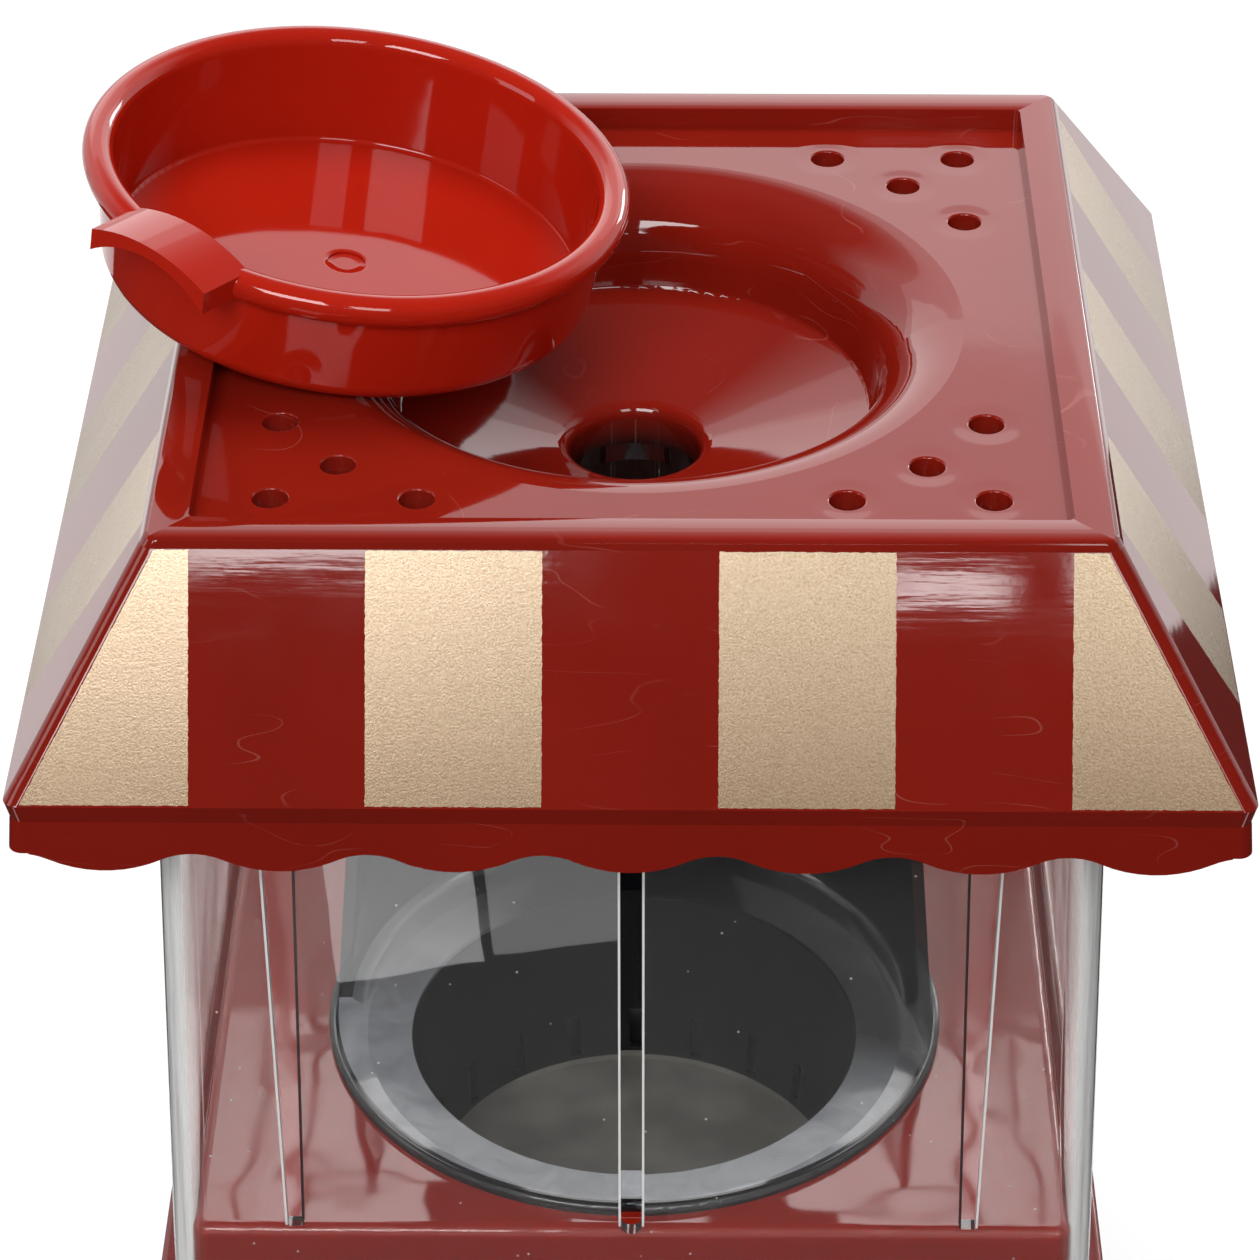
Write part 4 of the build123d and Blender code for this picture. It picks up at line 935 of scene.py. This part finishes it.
def chamberFinish():
    # burnt black wall with a few specks, and a worn grey floor
    look = chamberLook
    material, tree, shader, place = startMaterial(
        "seasonedAluminium", {"Metallic": look["metallic"], "Roughness": look["roughness"]}
    )
    grain = addNode(
        tree,
        "ShaderNodeTexNoise",
        {"Vector": place},
        {"Scale": look["grainScale"], "Detail": 5.0, "Roughness": 0.7},
    )
    cloud = addNode(
        tree, "ShaderNodeTexNoise", {"Vector": place}, {"Scale": look["cloudScale"], "Detail": 2.0}
    )
    speck = addNode(tree, "ShaderNodeValToRGB", {0: grain.outputs["Fac"]})
    wearAndPaintedSheen = addNode(tree, "ShaderNodeValToRGB", {0: cloud.outputs["Fac"]})
    for ramp, span, shades in (
        (speck, "speckSpan", ("wall", "speck")),
        (wearAndPaintedSheen, "floorSpan", ("floorDark", "floorPale")),
    ):
        for stop, level, shade in zip(ramp.color_ramp.elements, look[span], shades):
            stop.position = level
            stop.color = linear(look[shade])
    axes = addNode(tree, "ShaderNodeSeparateXYZ", {0: place})
    low = addNode(
        tree, "ShaderNodeMath", {0: axes.outputs["Z"]}, {1: look["floorTop"]}, operation="LESS_THAN"
    )
    colour = addNode(
        tree,
        "ShaderNodeMix",
        {0: low.outputs[0], 6: speck.outputs["Color"], 7: wearAndPaintedSheen.outputs["Color"]},
        data_type="RGBA",
    ).outputs[2]
    tree.links.new(colour, shader.inputs["Base Color"])
    bump = addNode(
        tree,
        "ShaderNodeBump",
        {"Height": grain.outputs["Fac"]},
        {"Strength": 1.0, "Distance": look["grainHeight"] * mm},
    )
    tree.links.new(bump.outputs["Normal"], shader.inputs["Normal"])
    return material


# Chamber: aluminium, its wall seasoned to a dull black and its floor rubbed to a soft grey
chamberAluminium = chamberFinish()

rockerMarks = {
    "x": 56.0,  # mm, the middle of the switch
    "onHeight": 38.6,  # mm, the middle of each mark
    "offHeight": 29.6,
    "size": 1.5,  # mm, half the bar's height, and the ring's outer radius
    "stroke": 0.3,  # mm, half a line's width
    "face": -82.0,  # mm, only what lies ahead of it is printed
    "paint": "#E9E6DE",
}


def rockerPlastic():
    # red plastic with a bar for ON above and a ring for OFF below
    marks = rockerMarks
    material, tree, shader, place, tone = mouldedPlastic("rockerRed", "#C01F18", 0.18, 0.01)[:5]
    axes = addNode(tree, "ShaderNodeSeparateXYZ", {0: place})
    x, y, z = axes.outputs
    across = addNode(tree, "ShaderNodeMath", {0: x}, {1: marks["x"]}, operation="SUBTRACT").outputs[0]
    side = addNode(tree, "ShaderNodeMath", {0: across}, operation="ABSOLUTE").outputs[0]
    bar = addNode(tree, "ShaderNodeMath", {0: side}, {1: marks["stroke"]}, operation="LESS_THAN").outputs[0]
    rise = addNode(tree, "ShaderNodeMath", {0: z}, {1: marks["onHeight"]}, operation="SUBTRACT").outputs[0]
    rise = addNode(tree, "ShaderNodeMath", {0: rise}, operation="ABSOLUTE").outputs[0]
    tall = addNode(tree, "ShaderNodeMath", {0: rise}, {1: marks["size"]}, operation="LESS_THAN").outputs[0]
    bar = addNode(tree, "ShaderNodeMath", {0: bar, 1: tall}, operation="MULTIPLY").outputs[0]
    drop = addNode(tree, "ShaderNodeMath", {0: z}, {1: marks["offHeight"]}, operation="SUBTRACT").outputs[0]
    flat = addNode(tree, "ShaderNodeCombineXYZ", {"X": across, "Y": drop}).outputs[0]
    away = addNode(tree, "ShaderNodeVectorMath", {0: flat}, operation="LENGTH").outputs["Value"]
    ring = addNode(
        tree, "ShaderNodeMath", {0: away}, {1: marks["size"] - marks["stroke"]}, operation="SUBTRACT"
    ).outputs[0]
    ring = addNode(tree, "ShaderNodeMath", {0: ring}, operation="ABSOLUTE").outputs[0]
    ring = addNode(tree, "ShaderNodeMath", {0: ring}, {1: marks["stroke"]}, operation="LESS_THAN").outputs[0]
    printed = addNode(tree, "ShaderNodeMath", {0: bar, 1: ring}, operation="MAXIMUM").outputs[0]
    front = addNode(tree, "ShaderNodeMath", {0: y}, {1: marks["face"]}, operation="LESS_THAN").outputs[0]
    printed = addNode(tree, "ShaderNodeMath", {0: printed, 1: front}, operation="MULTIPLY").outputs[0]
    colour = addNode(
        tree,
        "ShaderNodeMix",
        {0: printed, 6: tone.outputs["Color"]},
        {7: linear(marks["paint"])},
        data_type="RGBA",
    ).outputs[2]
    tree.links.new(colour, shader.inputs["Base Color"])
    return material


# Rocker: bright red moulded plastic with a soft gloss and pale printed marks
rockerRed = rockerPlastic()

finishes = {
    "red_abs": housingAbs,
    "cup_red": cupPolypropylene,
    "clear_styrene": clearPolystyrene,
    "black_enamel": blackAbs,
    "chamber_aluminium": chamberAluminium,
    "silicone": silicone,
    "foot_rubber": rubber,
    "zinc_steel": zincSteel,
    "duct_steel": galvanisedSteel,
    "mica": mica,
    "nichrome": nichrome,
    "black_plastic": satinNylon,
    "rocker_red": rockerRed,
    "nylon_white": nylonWhite,
    "board_green": boardGreen,
    "brass": brass,
}
for part in frame["record"]["subparts"]:
    paint(part["node"], finishes[part["material_slot"]])
paint("roof_canopy", canopyAbs)
paint("popping_deck", deckAbs)
print("materials done")


# Pieces grown by node trees: screws and the heater's wire
def growPiece(name, plan, sizes, points, slotName, node=None):
    # runs a node tree once and keeps its plain mesh, which stands for the CAD node if one is named
    material = finishes[slotName]
    tree = bpy.data.node_groups.new(name, "GeometryNodeTree")
    tree.interface.new_socket("Seats", in_out="INPUT", socket_type="NodeSocketGeometry")
    for key, value in sizes.items():
        kind = "NodeSocketInt" if isinstance(value, int) else "NodeSocketFloat"
        tree.interface.new_socket(key, in_out="INPUT", socket_type=kind)
    tree.interface.new_socket("Geometry", in_out="OUTPUT", socket_type="NodeSocketGeometry")
    start = addNode(tree, "NodeGroupInput")
    made = plan(tree, start.outputs)
    solid = addNode(tree, "GeometryNodeRealizeInstances", {0: made}).outputs[0]
    painted = addNode(tree, "GeometryNodeSetMaterial", {"Geometry": solid}, {"Material": material}).outputs[0]
    addNode(tree, "NodeGroupOutput", {0: painted})
    seats = bpy.data.meshes.new(name + "Seats")
    seats.from_pydata([tuple(c * mm for c in point) for point in points], [], [])
    piece = bpy.data.objects.new(name, seats)
    bpy.context.scene.collection.objects.link(piece)
    grow = piece.modifiers.new("grow", "NODES")
    grow.node_group = tree
    for item in tree.interface.items_tree:
        if item.item_type == "SOCKET" and item.in_out == "INPUT" and item.name in sizes:
            grow[item.identifier] = sizes[item.name]
    bpy.context.view_layer.update()
    grown = piece.evaluated_get(bpy.context.evaluated_depsgraph_get())
    mesh = bpy.data.meshes.new_from_object(grown)
    piece.modifiers.clear()
    mesh.materials.clear()  # leaves the one finish, without the empty slot that primitives bring
    mesh.materials.append(material)
    mesh.name = name
    piece.data = mesh
    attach(piece, "base")
    if node:
        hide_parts(node)
    return piece


screwSizes = {
    "Head radius": 2.8 * mm,
    "Head height": 2.0 * mm,
    "Dome": 0.7 * mm,  # how much lower the head's rim is than its middle
    "Recess length": 2.9 * mm,
    "Recess width": 0.62 * mm,
    "Recess depth": 1.1 * mm,
    "Shank radius": 1.5 * mm,
    "Thread pitch": 1.9 * mm,  # coarser than a real thread, so that few faces show it
    "Thread depth": 0.22 * mm,
    "Turn": 0.0,  # half a turn puts the head on top
}
ringsPerMm = 2.2  # rings of faces along a shank
mostSpin = 3.0  # radians, how far one screw may have stopped beyond another
screwSets = {  # seats in mm, shank length in mm, and which way the head faces
    "base_screws": {
        "seats": [(x, y, 5.0) for x in (-72, 72) for y in (-72, 72)],
        "shank": 13.5,
        "turn": 0.0,
    },
    "deck_screws": {
        "seats": [(x, y, 137.5) for x in (-65.77, 65.77) for y in (-65.77, 65.77)],
        "shank": 15.0,
        "turn": 0.0,
    },
    "chute_screws": {
        "seats": [(x, y, 152.5) for x in (-35.07, 35.07) for y in (-57.69, 12.45)],
        "shank": 5.7,
        "turn": 0.0,
    },
    "motor_screws": {
        "seats": [(8.66, -17.62, 60.0), (-8.66, -27.62, 60.0)],
        "shank": 6.0,
        "turn": math.pi,
    },
}


def screwPlan(tree, given):
    # a domed head with a cross recess on a threaded shank, set on every seat
    head = addNode(
        tree,
        "GeometryNodeMeshCylinder",
        {"Radius": given["Head radius"], "Depth": given["Head height"]},
        {"Vertices": 20, "Fill Segments": 3},
    ).outputs["Mesh"]
    place = addNode(tree, "GeometryNodeInputPosition").outputs[0]
    axes = addNode(tree, "ShaderNodeSeparateXYZ", {0: place}).outputs
    flat = addNode(tree, "ShaderNodeCombineXYZ", {"X": axes["X"], "Y": axes["Y"]}).outputs[0]
    radius = addNode(tree, "ShaderNodeVectorMath", {0: flat}, operation="LENGTH").outputs["Value"]
    share = addNode(
        tree, "ShaderNodeMath", {0: radius, 1: given["Head radius"]}, operation="DIVIDE"
    ).outputs[0]
    square = addNode(tree, "ShaderNodeMath", {0: share, 1: share}, operation="MULTIPLY").outputs[0]
    lift = addNode(tree, "ShaderNodeMath", {0: square, 1: given["Dome"]}, operation="MULTIPLY").outputs[0]
    lift = addNode(tree, "ShaderNodeCombineXYZ", {"Z": lift}).outputs[0]
    under = addNode(tree, "ShaderNodeMath", {0: axes["Z"]}, {1: 0.0}, operation="LESS_THAN").outputs[0]
    head = addNode(
        tree, "GeometryNodeSetPosition", {"Geometry": head, "Selection": under, "Offset": lift}
    ).outputs[0]
    down = addNode(
        tree, "ShaderNodeMath", {0: given["Head height"]}, {1: -0.5}, operation="MULTIPLY"
    ).outputs[0]
    down = addNode(tree, "ShaderNodeCombineXYZ", {"Z": down}).outputs[0]
    head = addNode(tree, "GeometryNodeTransform", {"Geometry": head, "Translation": down}).outputs[0]
    long = addNode(
        tree,
        "ShaderNodeCombineXYZ",
        {"X": given["Recess length"], "Y": given["Recess width"], "Z": given["Recess depth"]},
    ).outputs[0]
    wide = addNode(
        tree,
        "ShaderNodeCombineXYZ",
        {"X": given["Recess width"], "Y": given["Recess length"], "Z": given["Recess depth"]},
    ).outputs[0]
    bottom = addNode(tree, "ShaderNodeVectorMath", {0: down}, {"Scale": 2.0}, operation="SCALE").outputs[0]
    for size in (long, wide):
        bar = addNode(tree, "GeometryNodeMeshCube", {"Size": size}).outputs["Mesh"]
        bar = addNode(tree, "GeometryNodeTransform", {"Geometry": bar, "Translation": bottom}).outputs[0]
        cut = addNode(
            tree,
            "GeometryNodeMeshBoolean",
            {"Mesh 1": head, "Mesh 2": bar},
            operation="DIFFERENCE",
            solver="MANIFOLD",
        )
        head = cut.outputs["Mesh"]
    shank = addNode(
        tree,
        "GeometryNodeMeshCylinder",
        {"Radius": given["Shank radius"], "Depth": given["Shank length"], "Side Segments": given["Rings"]},
        {"Vertices": 10},
    ).outputs["Mesh"]
    # thread: the radius swings with height and angle together
    angle = addNode(tree, "ShaderNodeMath", {0: axes["Y"], 1: axes["X"]}, operation="ARCTAN2").outputs[0]
    turns = addNode(
        tree, "ShaderNodeMath", {0: axes["Z"], 1: given["Thread pitch"]}, operation="DIVIDE"
    ).outputs[0]
    phase = addNode(
        tree, "ShaderNodeMath", {0: turns, 2: angle}, {1: 2 * math.pi}, operation="MULTIPLY_ADD"
    ).outputs[0]
    wave = addNode(tree, "ShaderNodeMath", {0: phase}, operation="SINE").outputs[0]
    wave = addNode(tree, "ShaderNodeMath", {0: wave}, {1: 1.0}, operation="SUBTRACT").outputs[0]
    depth = addNode(
        tree, "ShaderNodeMath", {0: wave, 1: given["Thread depth"]}, operation="MULTIPLY"
    ).outputs[0]
    outward = addNode(tree, "ShaderNodeVectorMath", {0: flat}, operation="NORMALIZE").outputs[0]
    shift = addNode(tree, "ShaderNodeVectorMath", {0: outward, "Scale": depth}, operation="SCALE").outputs[0]
    shank = addNode(tree, "GeometryNodeSetPosition", {"Geometry": shank, "Offset": shift}).outputs[0]
    up = addNode(
        tree, "ShaderNodeMath", {0: given["Shank length"]}, {1: 0.5}, operation="MULTIPLY"
    ).outputs[0]
    up = addNode(tree, "ShaderNodeCombineXYZ", {"Z": up}).outputs[0]
    shank = addNode(tree, "GeometryNodeTransform", {"Geometry": shank, "Translation": up}).outputs[0]
    screw = addNode(tree, "GeometryNodeJoinGeometry")
    tree.links.new(head, screw.inputs[0])
    tree.links.new(shank, screw.inputs[0])
    # each screw stopped at its own angle
    spin = addNode(tree, "FunctionNodeRandomValue", values={"Seed": 7}, data_type="FLOAT")
    spin = [socket for socket in spin.outputs if socket.enabled][0]
    spin = addNode(tree, "ShaderNodeMath", {0: spin}, {1: mostSpin}, operation="MULTIPLY").outputs[0]
    turn = addNode(tree, "ShaderNodeCombineXYZ", {"X": given["Turn"], "Z": spin}).outputs[0]
    return addNode(
        tree,
        "GeometryNodeInstanceOnPoints",
        {"Points": given["Seats"], "Instance": screw.outputs[0], "Rotation": turn},
    ).outputs[0]


for node, screws in screwSets.items():
    sizes = screwSizes | {"Shank length": screws["shank"] * mm, "Turn": screws["turn"]}
    sizes["Rings"] = int(screws["shank"] * ringsPerMm)
    growPiece(node + "_cross", screwPlan, sizes, screws["seats"], "zinc_steel", node)
# clamp screws down in the terminal block's three wells
clampSizes = screwSizes | {
    "Head radius": 2.2 * mm,
    "Head height": 1.8 * mm,
    "Dome": 0.3 * mm,
    "Shank radius": 1.1 * mm,
    "Shank length": 1.0 * mm,
    "Thread depth": 0.0,
    "Turn": math.pi,
    "Rings": 1,
}
clampSeats = [(x, 56.0, 13.0) for x in (-55, -45, -35)]  # mm
growPiece("terminal_screws", screwPlan, clampSizes, clampSeats, "brass")

heaterWire = {
    "Ring radius": 36.0 * mm,
    "Rise": 10.0 * mm,
    "Turns": 2.0,
    "Winding radius": 0.85 * mm,
    "Windings": 190.0,  # fewer and thicker than the real wire's, so that each one shows
    "Wire radius": 0.33 * mm,
    "Steps": 1900,
}


def coilPlan(tree, given):
    # a fine coil laid along a two-turn helix
    line = addNode(tree, "GeometryNodeCurvePrimitiveLine").outputs[0]
    line = addNode(tree, "GeometryNodeResampleCurve", {"Curve": line, "Count": given["Steps"]}).outputs[0]
    step = addNode(tree, "GeometryNodeSplineParameter").outputs["Factor"]
    angle = addNode(tree, "ShaderNodeMath", {0: step, 1: given["Turns"]}, operation="MULTIPLY").outputs[0]
    angle = addNode(tree, "ShaderNodeMath", {0: angle}, {1: 2 * math.pi}, operation="MULTIPLY").outputs[0]
    wound = addNode(tree, "ShaderNodeMath", {0: step, 1: given["Windings"]}, operation="MULTIPLY").outputs[0]
    wound = addNode(tree, "ShaderNodeMath", {0: wound}, {1: 2 * math.pi}, operation="MULTIPLY").outputs[0]
    inOut = addNode(tree, "ShaderNodeMath", {0: wound}, operation="COSINE").outputs[0]
    upDown = addNode(tree, "ShaderNodeMath", {0: wound}, operation="SINE").outputs[0]
    radius = addNode(
        tree,
        "ShaderNodeMath",
        {0: inOut, 1: given["Winding radius"], 2: given["Ring radius"]},
        operation="MULTIPLY_ADD",
    ).outputs[0]
    rise = addNode(tree, "ShaderNodeMath", {0: step, 1: given["Rise"]}, operation="MULTIPLY").outputs[0]
    height = addNode(
        tree, "ShaderNodeMath", {0: upDown, 1: given["Winding radius"], 2: rise}, operation="MULTIPLY_ADD"
    ).outputs[0]
    x = addNode(tree, "ShaderNodeMath", {0: angle}, operation="COSINE").outputs[0]
    y = addNode(tree, "ShaderNodeMath", {0: angle}, operation="SINE").outputs[0]
    x = addNode(tree, "ShaderNodeMath", {0: x, 1: radius}, operation="MULTIPLY").outputs[0]
    y = addNode(tree, "ShaderNodeMath", {0: y, 1: radius}, operation="MULTIPLY").outputs[0]
    place = addNode(tree, "ShaderNodeCombineXYZ", {"X": x, "Y": y, "Z": height}).outputs[0]
    path = addNode(tree, "GeometryNodeSetPosition", {"Geometry": line, "Position": place}).outputs[0]
    section = addNode(
        tree, "GeometryNodeCurvePrimitiveCircle", {"Radius": given["Wire radius"]}, {"Resolution": 5}
    ).outputs[0]
    wire = addNode(
        tree, "GeometryNodeCurveToMesh", {"Curve": path, "Profile Curve": section}, {"Fill Caps": True}
    ).outputs[0]
    return addNode(
        tree, "GeometryNodeInstanceOnPoints", {"Points": given["Seats"], "Instance": wire}
    ).outputs[0]


coilStart = (0.0, -22.618, 93.0)  # mm, middle of the lowest turn
growPiece("heater_coil_wire", coilPlan, heaterWire, [coilStart], "nichrome", "heater_coil")
print("screws and heater wire done")

# Studio: a pale table in a white room
studio = {
    "floorSize": 8.0,
    "floorColour": "#B4B4B4",
    "floorLift": 0.62,  # added to what the camera sees, so the floor reads as white paper
    "roomGrey": 0.28,  # the even light of the room
    "ceilingGrey": 0.12,
    "frontGrey": 0.05,  # what glossy surfaces mirror in front, so that the red stays deep
    "floorDrop": 0.0002,  # m, how far the table's face lies below the feet
    "tableGrey": 0.03,  # the table in gloss, in front and at the sides
    "tableFront": -110.0,  # mm, ahead of it the table is dark in gloss
    "tableSide": 200.0,  # mm, and so it is beyond this on both sides
    "tableEnd": 510.0,  # mm, as far as this on the right
    "tableSkew": -0.2,  # that end's slant
    "ceilingSpan": (0.58, 0.74),  # heights of view between which the white ends
    "frontSpan": (0.1, 0.45),  # from front to back, where the dark ends
}
floorMesh = bpy.data.meshes.new("floor")
side = studio["floorSize"] / 2
corners = [(-side, -side, 0), (side, -side, 0), (side, side, 0), (-side, side, 0)]
floorMesh.from_pydata(corners, [], [(0, 1, 2, 3)])
floor = bpy.data.objects.new("floor", floorMesh)
bpy.context.scene.collection.objects.link(floor)
floor.location.z = -studio["floorDrop"]
paper, tree, shader, place = startMaterial(
    "paperFloor", {"Base Color": linear(studio["floorColour"]), "Roughness": 0.7}
)
path = addNode(tree, "ShaderNodeLightPath")
seen = addNode(
    tree,
    "ShaderNodeMath",
    {0: path.outputs["Is Camera Ray"], 1: path.outputs["Is Glossy Ray"]},
    operation="MAXIMUM",
)
seen = addNode(
    tree, "ShaderNodeMath", {0: seen.outputs[0], 1: path.outputs["Is Transmission Ray"]}, operation="MAXIMUM"
)
lift = addNode(tree, "ShaderNodeMath", {0: seen.outputs[0]}, {1: studio["floorLift"]}, operation="MULTIPLY")
glow = addNode(tree, "ShaderNodeEmission", {"Strength": lift.outputs[0]})
both = addNode(tree, "ShaderNodeAddShader", {0: shader.outputs[0], 1: glow.outputs[0]})
# to glossy rays the table is dark in front of the machine and on both sides of it. Rays through the
# clear case count as glossy too, so the case looks smoky where this part of the table lies behind it
axes = addNode(tree, "ShaderNodeSeparateXYZ", {0: place})
ahead = addNode(
    tree, "ShaderNodeMath", {0: axes.outputs["Y"]}, {1: studio["tableFront"]}, operation="LESS_THAN"
)
aside = addNode(tree, "ShaderNodeMath", {0: axes.outputs["X"]}, operation="ABSOLUTE")
aside = addNode(
    tree, "ShaderNodeMath", {0: aside.outputs[0]}, {1: studio["tableSide"]}, operation="GREATER_THAN"
)
reach = addNode(
    tree,
    "ShaderNodeMath",
    {0: axes.outputs["X"], 2: axes.outputs["Y"]},
    {1: studio["tableSkew"]},
    operation="MULTIPLY_ADD",
)
near = addNode(tree, "ShaderNodeMath", {0: reach.outputs[0]}, {1: studio["tableEnd"]}, operation="LESS_THAN")
corner = addNode(tree, "ShaderNodeMath", {0: near.outputs[0], 1: aside.outputs[0]}, operation="MULTIPLY")
shaded = addNode(tree, "ShaderNodeMath", {0: ahead.outputs[0], 1: corner.outputs[0]}, operation="MAXIMUM")
dark = addNode(
    tree, "ShaderNodeMath", {0: shaded.outputs[0], 1: path.outputs["Is Glossy Ray"]}, operation="MULTIPLY"
)
tableTone = (studio["tableGrey"],) * 3 + (1.0,)
table = addNode(tree, "ShaderNodeBsdfDiffuse", values={"Color": tableTone})
ground = addNode(tree, "ShaderNodeMixShader", {0: dark.outputs[0], 1: both.outputs[0], 2: table.outputs[0]})
tree.links.new(ground.outputs[0], tree.nodes["Material Output"].inputs["Surface"])
floorMesh.materials.append(paper)
floor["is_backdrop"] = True

world = bpy.data.worlds.new("room")
bpy.context.scene.world = world
world.use_nodes = True
tree = world.node_tree
background = tree.nodes["Background"]
background.inputs["Color"].default_value = (1.0, 1.0, 1.0, 1.0)
path = addNode(tree, "ShaderNodeLightPath")
seen = addNode(
    tree,
    "ShaderNodeMath",
    {0: path.outputs["Is Camera Ray"], 1: path.outputs["Is Transmission Ray"]},
    operation="MAXIMUM",
)
# what gloss mirrors: white low down behind and beside the table, a dim ceiling, dark in front
place = addNode(tree, "ShaderNodeTexCoord")
axes = addNode(tree, "ShaderNodeSeparateXYZ", {0: place.outputs["Generated"]})
ceiling = addNode(
    tree,
    "ShaderNodeMapRange",
    {"Value": axes.outputs["Z"]},
    {
        "From Min": studio["ceilingSpan"][0],
        "From Max": studio["ceilingSpan"][1],
        "To Min": 1.0,
        "To Max": studio["ceilingGrey"],
    },
)
behind = addNode(
    tree,
    "ShaderNodeMapRange",
    {"Value": axes.outputs["Y"]},
    {"From Min": studio["frontSpan"][0], "From Max": studio["frontSpan"][1]},
)
around = addNode(
    tree,
    "ShaderNodeMix",
    {"Factor": behind.outputs[0], "B": ceiling.outputs[0]},
    {"A": studio["frontGrey"]},
    data_type="FLOAT",
)
glossy = addNode(
    tree,
    "ShaderNodeMix",
    {"Factor": path.outputs["Is Glossy Ray"], "B": around.outputs[0]},
    {"A": studio["roomGrey"]},
    data_type="FLOAT",
)
level = addNode(
    tree, "ShaderNodeMix", {"Factor": seen.outputs[0], "A": glossy.outputs[0]}, {"B": 1.0}, data_type="FLOAT"
)
tree.links.new(level.outputs[0], background.inputs["Strength"])

lamps = {  # place, aim, size in metres, and how bright its face looks beside white
    "backBox": {"at": (0, 2.03, 1.15), "aim": (0, 0, 0.29), "size": (2.8, 1.18), "bright": 0.42},
    "backLow": {"at": (0.1, 1.885, 0.96), "aim": (0.1, 0, 0.29), "size": (2.4, 0.78), "bright": 0.6},
    "backWindow": {"at": (1.26, 1.8, 0.75), "aim": (0, 0, 0.29), "size": (0.5, 0.4), "bright": 9.0},
    "frontWindow": {
        "at": (-0.51, -1.61, 1.59),
        "aim": (-0.51, -0.09, 0.29),
        "size": (0.88, 0.677),
        "bright": 10.0,
    },
    "rightWindow": {"at": (0.5, -1.62, 1.53), "aim": (0.5, -0.09, 0.29), "size": (0.5, 0.6), "bright": 6.0},
    "gap": {
        "at": (0.175, -1.81, 1.306),
        "aim": (0.185, -0.09, 0.29),
        "size": (0.08, 0.016),
        "bright": 12.0,
    },
    "overheadBox": {"at": (0.1, 0.4, 1.9), "aim": (0, 0, 0.2), "size": (1.0, 1.0), "bright": 4.4},
    "leftBox": {"at": (-1.5, -0.5, 0.9), "aim": (0, 0, 0.2), "size": (0.6, 0.9), "bright": 2.0},
}
glossLamps = {  # seen in gloss alone: the table's sheen in front, and the light under the roof
    "tableSheen": {
        "at": (-0.0538, -0.3, 0.0755),
        "aim": (-0.0538, 0, 0.285),
        "size": (0.0335, 0.028),
        "bright": 3.2,
        "roll": 7.5,
    },
    "tableSheen2": {
        "at": (-0.0197, -0.3, 0.0815),
        "aim": (-0.0197, 0, 0.291),
        "size": (0.0302, 0.026),
        "bright": 1.8,
        "roll": 7.5,
    },
}
roofGlow = {  # panes of light under the roof, whose gaps draw dark lines in the red floor
    "height": 0.2525,  # m
    "bright": 4.6,
    "panes": (  # mm: left, right, front and back
        (-96, -71, -30, 97),
        (-69, -44, -30, 44),
        (-69, -33, 46, 97),
        (-31, 31, 52, 97),
        (-12, 12, 30, 50),
        (44, 69, -30, 38),
        (33, 69, 40, 97),
        (71, 96, -30, 97),
    ),
}
for count, (left, right, front, back) in enumerate(roofGlow["panes"]):
    middle = ((left + right) / 2 * mm, (front + back) / 2 * mm, roofGlow["height"])
    glossLamps[f"roofGlow{count}"] = {
        "at": middle,
        "aim": (middle[0], middle[1], 0),
        "size": ((right - left) * mm, (back - front) * mm),
        "bright": roofGlow["bright"],
    }
softLamps = ("overheadBox",)  # these only light, and leave no image in the gloss
for name, lamp in (lamps | glossLamps).items():
    data = bpy.data.lights.new(name, "AREA")
    data.shape = "RECTANGLE"
    data.size, data.size_y = lamp["size"]
    data.energy = lamp["bright"] * math.pi * data.size * data.size_y
    light = bpy.data.objects.new(name, data)
    aim = Vector(lamp["aim"]) - Vector(lamp["at"])
    roll = Matrix.Rotation(math.radians(lamp.get("roll", 0)), 4, "Z")
    facing = aim.to_track_quat("-Z", "Y").to_matrix().to_4x4()
    light.matrix_world = Matrix.Translation(lamp["at"]) @ facing @ roll
    light.visible_camera = False
    light.visible_glossy = name not in softLamps
    if name in glossLamps:
        light.visible_diffuse = False
        light.visible_transmission = name.startswith("roofGlow")
    bpy.context.scene.collection.objects.link(light)

# Camera: from above the front, as one looks down at a worktop
view = {
    "at": (0.00574, -0.67689, 0.6862),  # m
    "look": (-0.00815, 0.82994, -0.55779),  # the way it faces
    "roll": -0.07,  # degrees
    "lens": 128.49,  # mm, on a sensor of the next width
    "sensor": 36.0,
    "nearest": 0.02,  # m
}
cameraData = bpy.data.cameras.new("camera")
cameraData.lens = view["lens"]
cameraData.sensor_width = view["sensor"]
cameraData.clip_start = view["nearest"]
camera = bpy.data.objects.new("camera", cameraData)
turn = Vector(view["look"]).to_track_quat("-Z", "Y").to_matrix().to_4x4()
roll = Matrix.Rotation(math.radians(view["roll"]), 4, "Z")
camera.matrix_world = Matrix.Translation(view["at"]) @ turn @ roll
bpy.context.scene.collection.objects.link(camera)
bpy.context.scene.camera = camera
bpy.context.scene.view_settings.view_transform = "Standard"
print("studio done")

visualLow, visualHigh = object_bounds()
sizes = {"cad": [list(cadLow), list(cadHigh)], "visual": [list(visualLow), list(visualHigh)]}
